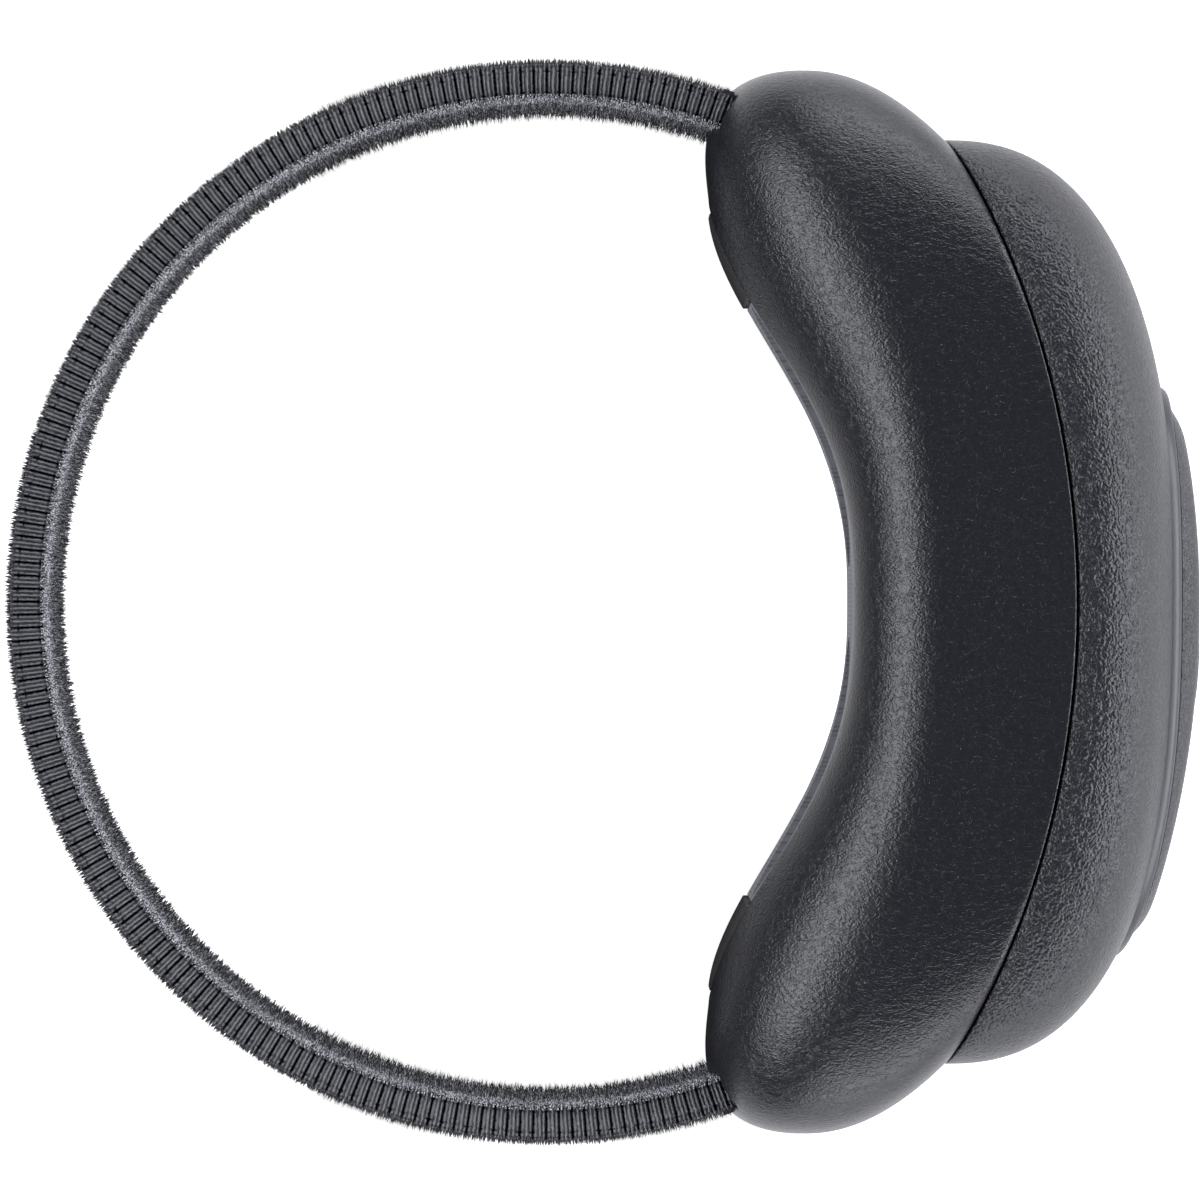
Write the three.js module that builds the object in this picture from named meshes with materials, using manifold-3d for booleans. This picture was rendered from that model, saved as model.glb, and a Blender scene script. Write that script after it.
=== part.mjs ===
// Padded massaging eye mask: a thick kidney-shaped face cushion, a domed front shell with a raised
// control pod, the air, heat and vibration parts inside, and a plush elastic strap that swings on two pins.
// Millimetres, +Z up. The front faces -Y, the wearer's left is +X, and the mask stands on z = 0.
// "Forward" is the distance towards the front, so forward = -Y. "Level" is the height above the mid-plane.
import * as THREE from "three";
import { mergeVertices } from "three/addons/utils/BufferGeometryUtils.js";
import Module from "manifold-3d";

const wasm = await Module();
wasm.setup();

// Driving dimensions
const midHeight = 43.5; // mid-plane above the surface it stands on
const halfHeight = 45; // cushion and shell before the underside is flattened
const gap = 0.3; // between pieces that touch
const face = { halfWidth: 79, halfHeight: 31, roundness: 3, forward: 49 }; // opening for the lining
const crest = { halfWidth: 105.5, halfHeight, roundness: 4, forward: 65.8 }; // widest line of the cushion
const seam = { halfWidth: 91.6, halfHeight, roundness: 4.2, forward: 92.3 }; // where cushion meets shell
const front = { roundness: 2.4, forward: 114.2, curve: 2.42 }; // dome of the shell
const faceSag = { depth: 27.8, reach: 82.4, power: 1.36 };
const crestRadius = 231.5;
const seamRadius = 182;
const seamGap = 0.7;
const cushionPuff = { middle: 0, temple: 0.14 }; // how far the cushion swells past its edge
const cushionPower = { middle: 1.05, temple: 0.8 }; // below 1 the roll is squarer than an ellipse
const lowerTilt = 0.05; // the cheek side leans away from the face
const nose = { halfWidth: 22, deepest: 0.6, shallowest: 0.3 };
const shellWall = 2.6;
const lining = { thickness: 2.4, inset: 0.4, halfWidth: 59.4 };
const templePad = { outer: 77.2, proud: 0.8 }; // rubber strips stand proud of the leather
const eye = { x: 33, level: 2, halfWidth: 26, halfHeight: 16.5 };
const pod = { x: -14, halfWidth: 53, halfHeight: 19.5, forward: 118.8, radius: 203.3 };
const plate = { halfWidth: 57.5, halfHeight: 23.5 };
const strap = { forward: -10.6, inner: 101.2, outer: 108.2, height: 38, startAngle: 0.325 };
const pivotForward = 32.1;
const pinEnds = [90.9, 101.2];
const powerButton = { x: -14, radius: 8.5 };
const modeButton = { x: 12, radius: 5.5 };
const button = { proud: 0.35, skirt: 3.1, stemRadius: 2.6, stemRear: 106, stemHole: 3.6, clearance: 0.4 };
const buttonSwitch = { side: 6, height: 1.9, gap: 1.2 };
const lens = { x: -42, halfWidth: 6, halfHigh: 1 };

// Materials
const material = (colour, roughness, metalness = 0) =>
  new THREE.MeshStandardMaterial({ color: colour, roughness, metalness });
const leather = material(0x2c2d31, 0.55);
const grained = material(0x313236, 0.62);
const softGrey = material(0x66676b, 0.8);
const blackPlastic = material(0x141416, 0.45);
const blackRubber = material(0x1a1a1c, 0.7);
const plush = material(0x3a3b3f, 0.95);
const boardGreen = material(0x1f4d33, 0.5);
const silver = material(0xb9bbbe, 0.35, 0.9);
const copper = material(0xa9683c, 0.4, 0.8);
const clearFilm = material(0xd8d4c6, 0.4);
const amberFilm = material(0xb8752a, 0.5);
const palePlastic = material(0xd9d9d6, 0.5);
const lensWhite = material(0xe8f0f2, 0.2);

const at = (x, forward, level) => new THREE.Vector3(x, -forward, level + midHeight);
const sagOf = (radius, x) => radius - Math.sqrt(radius * radius - x * x);

// How far forward each main line of the mask lies, across its width
function faceForward(x) {
  const share = Math.min(Math.abs(x) / faceSag.reach, 1) ** faceSag.power;
  return face.forward - faceSag.depth * Math.sin((Math.PI / 2) * share) ** 2;
}
const crestForward = (x) => crest.forward - sagOf(crestRadius, x);
const seamForward = (x) => seam.forward - sagOf(seamRadius, x);
const seamSlope = 0.255; // turn of the seam halfway out to each side

// The nose arch lifts the lower half near the middle, most at the face
function archLevel(x, forward, level) {
  if (level > 0) return level;
  const depth = face.forward;
  const share = (forward - depth) / (front.forward - depth);
  const lift = nose.deepest + (nose.shallowest - nose.deepest) * Math.min(Math.max(share, 0), 1);
  return level * (1 - lift * Math.exp(-((Math.abs(x) / nose.halfWidth) ** 3)));
}

// Rounded loop: the point at an angle on a superellipse
function onLoop(halfWidth, halfHigh, roundness, angle) {
  const c = Math.cos(angle);
  const s = Math.sin(angle);
  const reach = (Math.abs(c) ** roundness + Math.abs(s) ** roundness) ** (-1 / roundness);
  return [halfWidth * reach * c, halfHigh * reach * s];
}

// A closed mesh from points and faces, turned outwards if its volume comes out negative
function closedMesh(points, faces) {
  const a = new THREE.Vector3();
  const volume = faces.reduce(
    (sum, [i, j, k]) => sum + points[i].dot(a.crossVectors(points[j], points[k])),
    0,
  );
  const turned = volume < 0 ? faces.map(([i, j, k]) => [i, k, j]) : faces;
  const geometry = new THREE.BufferGeometry().setFromPoints(points);
  geometry.setIndex(turned.flat());
  return geometry;
}

// Loops of equal length joined one to the next; the last joins the first, or each end closes on its middle
function loopSolid(loops, closesOnItself) {
  const count = loops[0].length;
  const points = loops.flat();
  const faces = [];
  const bands = closesOnItself ? loops.length : loops.length - 1;
  for (let band = 0; band < bands; band++) {
    const near = band * count;
    const far = ((band + 1) % loops.length) * count;
    for (let i = 0; i < count; i++) {
      const next = (i + 1) % count;
      faces.push([near + i, near + next, far + i], [near + next, far + next, far + i]);
    }
  }
  if (!closesOnItself) {
    for (const end of [0, loops.length - 1]) {
      const middle = new THREE.Vector3();
      for (const p of loops[end]) middle.addScaledVector(p, 1 / count);
      points.push(middle);
      for (let i = 0; i < count; i++) {
        const pair = [end * count + i, end * count + ((i + 1) % count)];
        faces.push(end ? [...pair, points.length - 1] : [pair[1], pair[0], points.length - 1]);
      }
    }
  }
  return closedMesh(points, faces);
}

const loopOf = (segments, point) =>
  Array.from({ length: segments }, (_, i) => point((2 * Math.PI * i) / segments));

// Booleans
function toSolid(geometry) {
  const bare = geometry.clone();
  bare.deleteAttribute("normal");
  bare.deleteAttribute("uv");
  const merged = mergeVertices(bare, 1e-4);
  return new wasm.Manifold(
    new wasm.Mesh({
      numProp: 3,
      vertProperties: merged.attributes.position.array,
      triVerts: new Uint32Array(merged.index.array),
    }),
  );
}

function toGeometry(solid) {
  const mesh = solid.getMesh();
  const geometry = new THREE.BufferGeometry();
  geometry.setAttribute("position", new THREE.BufferAttribute(mesh.vertProperties, 3));
  return geometry.setIndex(new THREE.BufferAttribute(mesh.triVerts, 1));
}

const cut = (geometry, ...tools) =>
  toGeometry(tools.reduce((solid, tool) => solid.subtract(toSolid(tool)), toSolid(geometry)));
const join = (...shapes) => toGeometry(shapes.map(toSolid).reduce((a, b) => a.add(b)));

// Small shapes, each placed by its centre
const block = (width, depth, height, x = 0, y = 0, z = 0) =>
  new THREE.BoxGeometry(width, depth, height).translate(x, y, z);

function rod(radius, length, axis, x = 0, y = 0, z = 0, sides = 20) {
  const made = new THREE.CylinderGeometry(radius, radius, length, sides);
  if (axis === "x") made.rotateZ(Math.PI / 2);
  if (axis === "z") made.rotateX(Math.PI / 2);
  return made.translate(x, y, z);
}

// A pad whose outline is a rounded loop and whose two sides follow depth functions of (x, level, share)
function padSolid({ x, level = 0, halfWidth, halfHigh, roundness = 2, segments = 28 }, sides) {
  const shares = sides.shares ?? [0.35, 0.7, 1];
  const loopAt = (share, depth) =>
    loopOf(segments, (angle) => {
      const [dx, dz] = onLoop(halfWidth * share, halfHigh * share, roundness, angle);
      return at(x + dx, depth(x + dx, level + dz, share), level + dz);
    });
  const towardsFace = shares.map((share) => loopAt(share, sides.rear));
  const towardsFront = shares.map((share) => loopAt(share, sides.front)).reverse();
  return loopSolid([...towardsFace, ...towardsFront], false);
}

// Groups and nodes
const mask = new THREE.Group();

function add(name, geometry, finish, parent = mask) {
  const mesh = new THREE.Mesh(geometry, finish);
  mesh.name = name;
  parent.add(mesh);
  return mesh;
}

const sidesOf = [
  ["left", 1],
  ["right", -1],
];

// A value that changes smoothly from the middle of the face to the temples
function between(range, x) {
  const t = Math.min(Math.max((Math.abs(x) - 20) / 65, 0), 1);
  return range.middle + (range.temple - range.middle) * t * t * (3 - 2 * t);
}

// --- Face cushion: foam ring in leatherette, with a rebate for the lining and a pocket for each strap end
function cushionLoops(segments) {
  const rollSteps = 6;
  const flatSteps = 3;
  const loops = [];
  const place = (x, forward, level) => {
    const p = at(x, forward, archLevel(x, forward, level));
    p.z = Math.max(p.z, 0);
    return p;
  };
  for (let i = 0; i <= rollSteps; i++) {
    const turn = ((Math.PI / 2) * i) / rollSteps;
    loops.push(
      loopOf(segments, (angle) => {
        const [fx, fz] = onLoop(face.halfWidth, face.halfHeight, face.roundness, angle);
        const [cx, cz] = onLoop(crest.halfWidth, crest.halfHeight, crest.roundness, angle);
        const puff = between(cushionPuff, fx);
        const power = between(cushionPower, fx);
        const out = Math.sin(turn) ** power;
        const back = Math.max(Math.cos(turn), 0) ** power + puff * Math.sin(2 * turn);
        const crestAt = crestForward(cx);
        const level = fz + (cz - fz) * out;
        const tilt = lowerTilt * Math.max(-level, 0) * Math.cos(turn);
        const forward = crestAt - (crestAt - faceForward(fx)) * back + tilt;
        return place(fx + (cx - fx) * out, forward, level);
      }),
    );
  }
  for (let i = 1; i <= flatSteps; i++) {
    const share = i / flatSteps;
    loops.push(
      loopOf(segments, (angle) => {
        const [cx, cz] = onLoop(crest.halfWidth, crest.halfHeight, crest.roundness, angle);
        const [sx, sz] = onLoop(seam.halfWidth, seam.halfHeight, seam.roundness, angle);
        const forward = crestForward(cx) + (seamForward(sx) - seamGap - crestForward(cx)) * share;
        return place(cx + (sx - cx) * share ** 2, forward, cz + (sz - cz) * share ** 2);
      }),
    );
  }
  const inner = [
    [84, 36, 4, (x) => seamForward(x) - seamGap],
    [86, 36.5, 4, (x) => crestForward(x) + 4],
    [80, 33.5, 3.5, (x) => faceForward(x) + 9],
    [74, 26.5, 3, (x) => faceForward(x) + 3.6],
    [face.halfWidth - 0.6, face.halfHeight - 0.6, face.roundness, (x) => faceForward(x) + 3.4],
  ];
  for (const [halfWidth, halfHigh, roundness, forwardAt] of inner) {
    loops.push(
      loopOf(segments, (angle) => {
        const [x, level] = onLoop(halfWidth, halfHigh, roundness, angle);
        const forward = forwardAt(x);
        return at(x, forward, archLevel(x, forward, level));
      }),
    );
  }
  return loops;
}

const pocket = { inside: 90.5, outside: 101.6, halfHeight: 24, depth: 43 };

function addCushion() {
  const pockets = sidesOf.map(([, side]) =>
    block(
      pocket.outside - pocket.inside,
      pocket.depth,
      2 * pocket.halfHeight,
      (side * (pocket.inside + pocket.outside)) / 2,
      -pocket.depth / 2,
      midHeight,
    ),
  );
  add("face_cushion", cut(loopSolid(cushionLoops(72), true), ...pockets), leather);
}

// --- Curved strips that fill the opening on the face side
function faceStrip(from, to, stations, rear, thickness) {
  const sections = [];
  for (let i = 0; i <= stations; i++) {
    const x = from + ((to - from) * i) / stations;
    const share = Math.min(Math.abs(x) / (face.halfWidth - 1.2), 0.999);
    const top = (face.halfHeight - 1.2) * (1 - share ** face.roundness) ** (1 / face.roundness);
    const forward = faceForward(x) + rear;
    const bottom = archLevel(x, forward, -top);
    sections.push([
      at(x, forward, top),
      at(x, forward + thickness, top),
      at(x, forward + thickness, bottom + 0.4),
      at(x, forward, bottom + 0.4),
    ]);
  }
  return loopSolid(sections, false);
}

function addLining() {
  const eyeHoles = sidesOf.map(([, side]) => {
    const hole = new THREE.CylinderGeometry(1, 1, 60, 28);
    return hole
      .scale(eye.halfWidth, 1, eye.halfHeight)
      .translate(side * eye.x, -faceForward(eye.x), midHeight + eye.level);
  });
  const strip = faceStrip(-lining.halfWidth, lining.halfWidth, 28, lining.inset, lining.thickness);
  add("face_lining", cut(strip, ...eyeHoles), softGrey);
  for (const [name, side] of sidesOf) {
    const ends = [side * (lining.halfWidth + gap), side * templePad.outer];
    const pad = faceStrip(...ends, 8, lining.inset - templePad.proud, lining.thickness + templePad.proud);
    add(`temple_pad_${name}`, pad, blackRubber);
  }
}

// --- One massage module behind each eye: pad, heating film, air bladder, tray and vibration motor
function addEyeModule(name, side) {
  const centre = { x: side * eye.x, level: eye.level };
  const hollow = (x, level) =>
    Math.max(1 - ((x - centre.x) / eye.halfWidth) ** 2 - ((level - centre.level) / eye.halfHeight) ** 2, 0);
  const dish = (offset) => (x, level) => faceForward(x) + offset + 3.5 * hollow(x, level);
  const level = (offset) => (x) => faceForward(x) + offset;
  const flange = { ...centre, halfWidth: 1.1 * eye.halfWidth, halfHigh: 1.1 * eye.halfHeight };
  const within = { ...centre, halfWidth: eye.halfWidth, halfHigh: eye.halfHeight };
  const rings = [0.385, 0.715, 1];
  const flangeRings = [...rings.map((share) => share / 1.1), 1];
  const padRear = lining.inset + lining.thickness + gap;
  const filmRear = padRear + 1.6 + gap;
  const bladderRear = filmRear + 0.5 + gap;
  const trayRear = bladderRear + 7.5;
  const layers = [
    ["eye_pad", flange, dish(padRear), dish(padRear + 1.6), flangeRings, blackRubber],
    ["heating_film", within, dish(filmRear), dish(filmRear + 0.5), rings, amberFilm],
    ["air_bladder", within, dish(bladderRear), level(trayRear - gap), rings, clearFilm],
    ["pad_tray", flange, level(trayRear), level(trayRear + 2), flangeRings, blackPlastic],
  ];
  for (const [piece, outline, rear, fore, shares, finish] of layers) {
    add(`${piece}_${name}`, padSolid(outline, { rear, front: fore, shares }), finish);
  }
  addMotor(name, side, faceForward(eye.x) + trayRear + 8.4);
}

const motor = { radius: 4, length: 13, shaftRadius: 0.75, weightRadius: 4.6, weightLength: 4.5 };

// The motor stands upright; its half-disc weight turns on the shaft below it
function addMotor(name, side, forward) {
  const group = new THREE.Group();
  group.position.copy(at(side * 36, forward, eye.level));
  mask.add(group);
  const canLevel = 3;
  const shaftLength = motor.weightLength + 1.5;
  const shaftLevel = canLevel - motor.length / 2 - shaftLength / 2;
  const can = rod(motor.radius, motor.length, "z", 0, 0, canLevel);
  const shaft = rod(motor.shaftRadius, shaftLength + 0.6, "z", 0, 0, shaftLevel + 0.3, 12);
  add(`vibration_motor_${name}`, join(can, shaft), silver, group);
  const disc = rod(motor.weightRadius, motor.weightLength, "z", 0, 0, 0, 24);
  const half = block(12, 12, 12, 0, -6 - motor.shaftRadius - gap - 0.8, 0);
  const bore = rod(motor.shaftRadius + gap, 12, "z", 0, 0, 0, 12);
  const weight = cut(disc, half, bore).translate(0, 0, shaftLevel - 0.4);
  add(`motor_weight_${name}`, weight, copper, group);
}

// --- Chassis plate across the seam, which carries the electronics
function addMidFrame() {
  const stations = 24;
  const reach = 81;
  const sections = [];
  for (let i = 0; i <= stations; i++) {
    const x = -reach + (2 * reach * i) / stations;
    const top = 33.5 * (1 - Math.min(Math.abs(x) / 83, 1) ** 4) ** (1 / 4);
    const rear = seamForward(x) - 4.4;
    const bottom = archLevel(x, face.forward + 18, -top);
    sections.push([
      at(x, rear, top),
      at(x, rear + 2.4, top),
      at(x, rear + 2.4, bottom),
      at(x, rear, bottom),
    ]);
  }
  const holes = screwPlaces.map(([x, level]) => {
    const hole = at(x, seamForward(x), level);
    return rod(1.7, 12, "y", hole.x, hole.y, hole.z, 16);
  });
  add("mid_frame", cut(loopSolid(sections, false), ...holes), blackPlastic);
}

const screwPlaces = [
  [58, 20],
  [-58, 20],
  [58, -22],
  [-58, -22],
];

function addScrews() {
  screwPlaces.forEach(([x, level], i) => {
    const rear = seamForward(x) - 5.6;
    const group = new THREE.Group();
    group.position.copy(at(x, rear, level));
    mask.add(group);
    const head = rod(2.6, 1.8, "y", 0, 0.9, 0, 14);
    const shank = rod(1.1, 12, "y", 0, -5.9, 0, 10);
    const slot = block(3, 1.6, 0.6, 0, 1.6, 0);
    add(`frame_screw_${i + 1}`, cut(join(head, shank), slot), silver, group);
  });
}

// --- Front shell
// Outlines grow from a soft oval at the middle (share 0) to the boxy seam (share 1)
const shellRoundness = (share) => front.roundness + (seam.roundness - front.roundness) * share;

// Share of the outline that passes through a point, found by halving
function shellShare(x, level) {
  const across = x / seam.halfWidth;
  const up = level / seam.halfHeight;
  const angle = Math.atan2(up, across);
  const distance = Math.hypot(across, up);
  let low = 0;
  let high = 1;
  for (let i = 0; i < 24; i++) {
    const share = (low + high) / 2;
    const [ox, oy] = onLoop(share, share, shellRoundness(share), angle);
    if (Math.hypot(ox, oy) < distance) low = share;
    else high = share;
  }
  return (low + high) / 2;
}

function shellDepth(share, angle, inset = 0) {
  const [edgeX] = onLoop(seam.halfWidth - inset, seam.halfHeight - inset, seam.roundness, angle);
  const edge = seamForward(edgeX);
  const rise = Math.max(1 - share ** front.curve, 0) ** (1 / front.curve);
  return edge + (front.forward - edge) * rise;
}

const shellForward = (x, level) =>
  shellDepth(shellShare(x, level), Math.atan2(level / seam.halfHeight, x / seam.halfWidth));

function shellLoops(segments, inset, floor) {
  const steps = 7;
  const loops = [];
  for (let i = 0; i <= steps; i++) {
    const share = Math.sin((Math.PI / 2) * (1 - i / (steps + 0.5)));
    loops.push(
      loopOf(segments, (angle) => {
        const halfWidth = (seam.halfWidth - inset) * share;
        const halfHigh = (seam.halfHeight - inset) * share;
        const [x, level] = onLoop(halfWidth, halfHigh, shellRoundness(share), angle);
        const forward = shellDepth(share, angle, inset) - inset * (1 - share ** 3);
        const p = at(x, forward, archLevel(x, forward, level));
        p.z = Math.max(p.z, floor);
        return p;
      }),
    );
  }
  return loops;
}

const buttonBoardForward = 101.9; // under the two switches
const port = { x: -46, forward: 97, width: 9, depth: 3.2 };

function addFrontShell() {
  const outer = shellLoops(64, 0, 0);
  const inner = shellLoops(64, shellWall, shellWall);
  const shell = loopSolid([...outer.reverse(), ...inner], false);
  const bosses = screwPlaces.map(([x, level]) => {
    const rear = seamForward(x) + 0.4;
    const fore = shellForward(x, level) - 2;
    const place = at(x, (rear + fore) / 2, level);
    return rod(3.4, fore - rear, "y", place.x, place.y, place.z, 16);
  });
  const pilots = screwPlaces.map(([x, level]) => {
    const place = at(x, seamForward(x) + 5, level);
    return rod(1.5, 14, "y", place.x, place.y, place.z, 12);
  });
  const stems = [powerButton, modeButton].map(({ x }) => {
    const place = at(x, front.forward, 0);
    return rod(button.stemHole, 20, "y", place.x, place.y, place.z, 16);
  });
  const portHole = block(port.width + 0.8, port.depth + 0.8, 20, port.x, -port.forward, 6);
  add("front_shell", cut(join(shell, ...bosses), ...pilots, ...stems, portHole), grained);
}

// --- Front plate, control pod, buttons and lens
function addPod() {
  const plateSides = {
    rear: (x, level) => shellForward(x, level) + 1.5 * gap,
    front: (x, level) => shellForward(x, level) + gap + 1,
    shares: [0.3, 0.6, 0.85, 1],
  };
  const outlineOf = (size, roundness) => ({
    x: pod.x,
    halfWidth: size.halfWidth,
    halfHigh: size.halfHeight,
    roundness,
    segments: 44,
  });
  const stemHole = (x, radius) => rod(radius, 30, "y", x, -front.forward, midHeight, 24);
  add(
    "front_plate",
    cut(
      padSolid(outlineOf(plate, 2.6), plateSides),
      stemHole(powerButton.x, button.stemHole),
      stemHole(modeButton.x, button.stemHole),
    ),
    blackPlastic,
  );
  const podFront = (x) => pod.forward - sagOf(pod.radius, x);
  const podRear = (x, level) => shellForward(x, level) + 2 * gap + 1;
  const podSides = {
    rear: podRear,
    front: (x, level, share) => {
      const rear = podRear(x, level);
      const edge = Math.max(podFront(x) - rear, 0.9);
      return rear + edge * (0.35 + 0.65 * (1 - share ** 8) ** 0.5);
    },
    shares: [0.3, 0.6, 0.85, 0.95, 1],
  };
  const slotSize = [2 * lens.halfWidth + 0.8, 30, 2 * lens.halfHigh + 0.8];
  const lensSlot = block(...slotSize, lens.x, -front.forward, midHeight);
  add(
    "control_pod",
    cut(
      padSolid(outlineOf(pod, 2.8), podSides),
      stemHole(powerButton.x, powerButton.radius + button.clearance),
      stemHole(modeButton.x, modeButton.radius + button.clearance),
      lensSlot,
    ),
    grained,
  );
  const windowOutline = { ...lens, roundness: 4, segments: 24 };
  const window = padSolid(windowOutline, { rear: podRear, front: podFront, shares: [1] });
  add("indicator_lens", window, lensWhite);
  for (const [name, { x, radius }] of [["power", powerButton], ["mode", modeButton]]) {
    const fore = podFront(x) + button.proud;
    const rear = front.forward + button.skirt;
    const stemFore = rear + 1;
    const cap = rod(radius, fore - rear, "y", x, -(fore + rear) / 2, midHeight, 36);
    const stemMiddle = (stemFore + button.stemRear) / 2;
    const stem = rod(button.stemRadius, stemFore - button.stemRear, "y", x, -stemMiddle, midHeight, 16);
    add(`${name}_button`, join(cap, stem), blackRubber);
    const switchMiddle = button.stemRear - buttonSwitch.gap - buttonSwitch.height / 2;
    const { side, height } = buttonSwitch;
    const switchBody = block(side, height, side, x, -switchMiddle, midHeight);
    add(`${name}_switch`, switchBody, silver);
  }
  add("button_board", block(46, 1.2, 18, -1, -buttonBoardForward, midHeight), boardGreen);
}

// --- Electronics and air parts
const mainBoard = { width: 88, height: 26, forward: 96.6, level: 5 };
const battery = { width: 46, thickness: 8, height: 33, x: -45, forward: 74.7 };
const pump = { x: 44, forward: 74.5, level: 4, motorRadius: 4.4, motorLength: 21 };
const tube = { radius: 1.5, nipple: 1.4 };
const tubeRoute = [
  [10.5, 74, 23],
  [17, 73.5, 24.5],
  [26, 66, 25.5],
  [29, 58, 22.8],
];

// A group turned to lie along the seam
function seamGroup(x, forward, level, turn) {
  const group = new THREE.Group();
  group.position.copy(at(x, forward, level));
  group.rotation.z = turn;
  mask.add(group);
  return group;
}

function addElectronics() {
  const chipLevel = midHeight + mainBoard.level + 1;
  const chip = block(9, 1.6, 9, 8, -97.9, chipLevel);
  const module = block(12, 2.2, 9, -22, -98.2, chipLevel);
  const boardLevel = midHeight + mainBoard.level;
  const board = block(mainBoard.width, 1.2, mainBoard.height, 0, -mainBoard.forward, boardLevel);
  add("main_board", join(board, chip, module), boardGreen);
  const pack = seamGroup(battery.x, battery.forward, 0, -seamSlope);
  const tabs = block(8, 1, 5, 0, 0, battery.height / 2 + 1.5);
  add("battery", join(block(battery.width, battery.thickness, battery.height), tabs), silver, pack);
  const socketBody = block(port.width, port.depth, 7);
  const mouth = block(port.width - 0.8, port.depth - 0.8, 5, 0, 0, -2);
  const tongue = block(6.4, 0.7, 4.5, 0, 0, -1);
  const socket = join(cut(socketBody, mouth), tongue).translate(port.x, -port.forward, 9.4);
  add("usb_socket", socket, silver);
}

function addAirParts() {
  const group = seamGroup(pump.x, pump.forward, pump.level, seamSlope);
  const pumpHead = join(block(16, 9, 18, -10, 0, 0), rod(tube.nipple, 6, "z", -13, 0, 11, 12));
  add("air_pump", pumpHead, palePlastic, group);
  add("pump_motor", rod(pump.motorRadius, pump.motorLength, "x", 9, 0, 0, 24), silver, group);
  const valve = join(block(9, 8, 12), rod(tube.nipple, 6, "z", 0, 0, 8, 12)).translate(2, 0, -17);
  add("air_valve", valve, palePlastic, group);
  const manifold = join(block(12, 5, 5), rod(1.3, 20, "x")).translate(0, -74, midHeight + 23);
  add("air_manifold", manifold, palePlastic);
  for (const [name, side] of sidesOf) {
    const ring = new THREE.Shape().absarc(0, 0, tube.radius, 0, 2 * Math.PI);
    const extrudePath = new THREE.CatmullRomCurve3(tubeRoute.map(([x, ...rest]) => at(side * x, ...rest)));
    const options = { steps: 14, curveSegments: 5, extrudePath, bevelEnabled: false };
    add(`air_tube_${name}`, new THREE.ExtrudeGeometry(ring, options), clearFilm);
  }
}

// --- Strap: bracket and pin in each pocket, clip on each strap end, and the plush band between them
const strapPoint = (radius, angle, level) =>
  at(radius * Math.cos(angle), strap.forward + radius * Math.sin(angle), level);

function strapSector(inner, outer, from, to, steps, halfHigh) {
  const sections = [];
  for (let i = 0; i <= steps; i++) {
    const angle = from + ((to - from) * i) / steps;
    const high = halfHigh(i / steps);
    sections.push([
      strapPoint(inner, angle, high),
      strapPoint(outer, angle, high),
      strapPoint(outer, angle, -high),
      strapPoint(inner, angle, -high),
    ]);
  }
  return loopSolid(sections, false);
}

function addStrap() {
  const end = Math.PI - strap.startAngle;
  const turns = [strap.startAngle, end - 2 * Math.PI];
  const band = strapSector(strap.inner, strap.outer, ...turns, 72, () => strap.height / 2);
  add("head_strap", band, plush);
  for (const [name, side] of sidesOf) {
    const from = side > 0 ? strap.startAngle + 0.004 : end - 0.004;
    const to = from + side * 0.145;
    const middle = (strap.inner + strap.outer) / 2;
    const shape = strapSector(middle - 2.4, middle + 2.4, from, to, 8, (share) => 18 - 9 * share ** 1.5);
    const pinX = side * (middle * Math.cos(strap.startAngle + 0.09));
    const hole = rod(2.8, 30, "x", pinX, -pivotForward, midHeight, 20);
    add(`strap_clip_${name}`, cut(shape, hole), blackPlastic);
    const pinLength = pinEnds[1] - pinEnds[0];
    const pinMiddle = (side * (pinEnds[0] + pinEnds[1])) / 2;
    const pin = rod(2.4, pinLength, "x", pinMiddle, -pivotForward, midHeight, 20);
    add(`anchor_pin_${name}`, pin, silver);
  }
}

addCushion();
addLining();
for (const [name, side] of sidesOf) addEyeModule(name, side);
addMidFrame();
addScrews();
addFrontShell();
addPod();
addElectronics();
addAirParts();
addStrap();

export default mask;
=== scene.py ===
# Padded massaging eye mask with a plush head strap, for Blender 4.5.
# Metres, +Z up, the front faces -Y and the wearer's left is +X. "Forward" is -Y and "level" is the height
# above the mid-plane, both in millimetres until toWorld turns them into metres.
import math

import bmesh
import bpy
import numpy as np
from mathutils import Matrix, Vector


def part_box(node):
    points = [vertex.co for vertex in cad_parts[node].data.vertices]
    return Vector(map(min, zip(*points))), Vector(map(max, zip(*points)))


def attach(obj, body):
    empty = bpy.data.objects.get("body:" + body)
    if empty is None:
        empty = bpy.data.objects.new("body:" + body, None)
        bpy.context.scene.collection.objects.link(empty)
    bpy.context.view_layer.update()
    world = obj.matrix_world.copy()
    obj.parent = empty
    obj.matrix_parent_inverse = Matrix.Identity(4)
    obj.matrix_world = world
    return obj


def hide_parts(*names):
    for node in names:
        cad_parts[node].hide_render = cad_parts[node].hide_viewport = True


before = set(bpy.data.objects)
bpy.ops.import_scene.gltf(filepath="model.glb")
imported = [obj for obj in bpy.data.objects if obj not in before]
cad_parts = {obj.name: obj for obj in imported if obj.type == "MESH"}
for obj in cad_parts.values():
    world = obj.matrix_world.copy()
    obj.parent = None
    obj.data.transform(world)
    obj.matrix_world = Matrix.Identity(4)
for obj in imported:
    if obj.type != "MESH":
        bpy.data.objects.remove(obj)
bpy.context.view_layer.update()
mm = 0.001
print("frame loaded:", len(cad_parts), "nodes")


# --- driving sizes, from the frame where it holds them
def boxMm(node):
    low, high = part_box(node)
    return np.array(low) / mm, np.array(high) / mm


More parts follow.
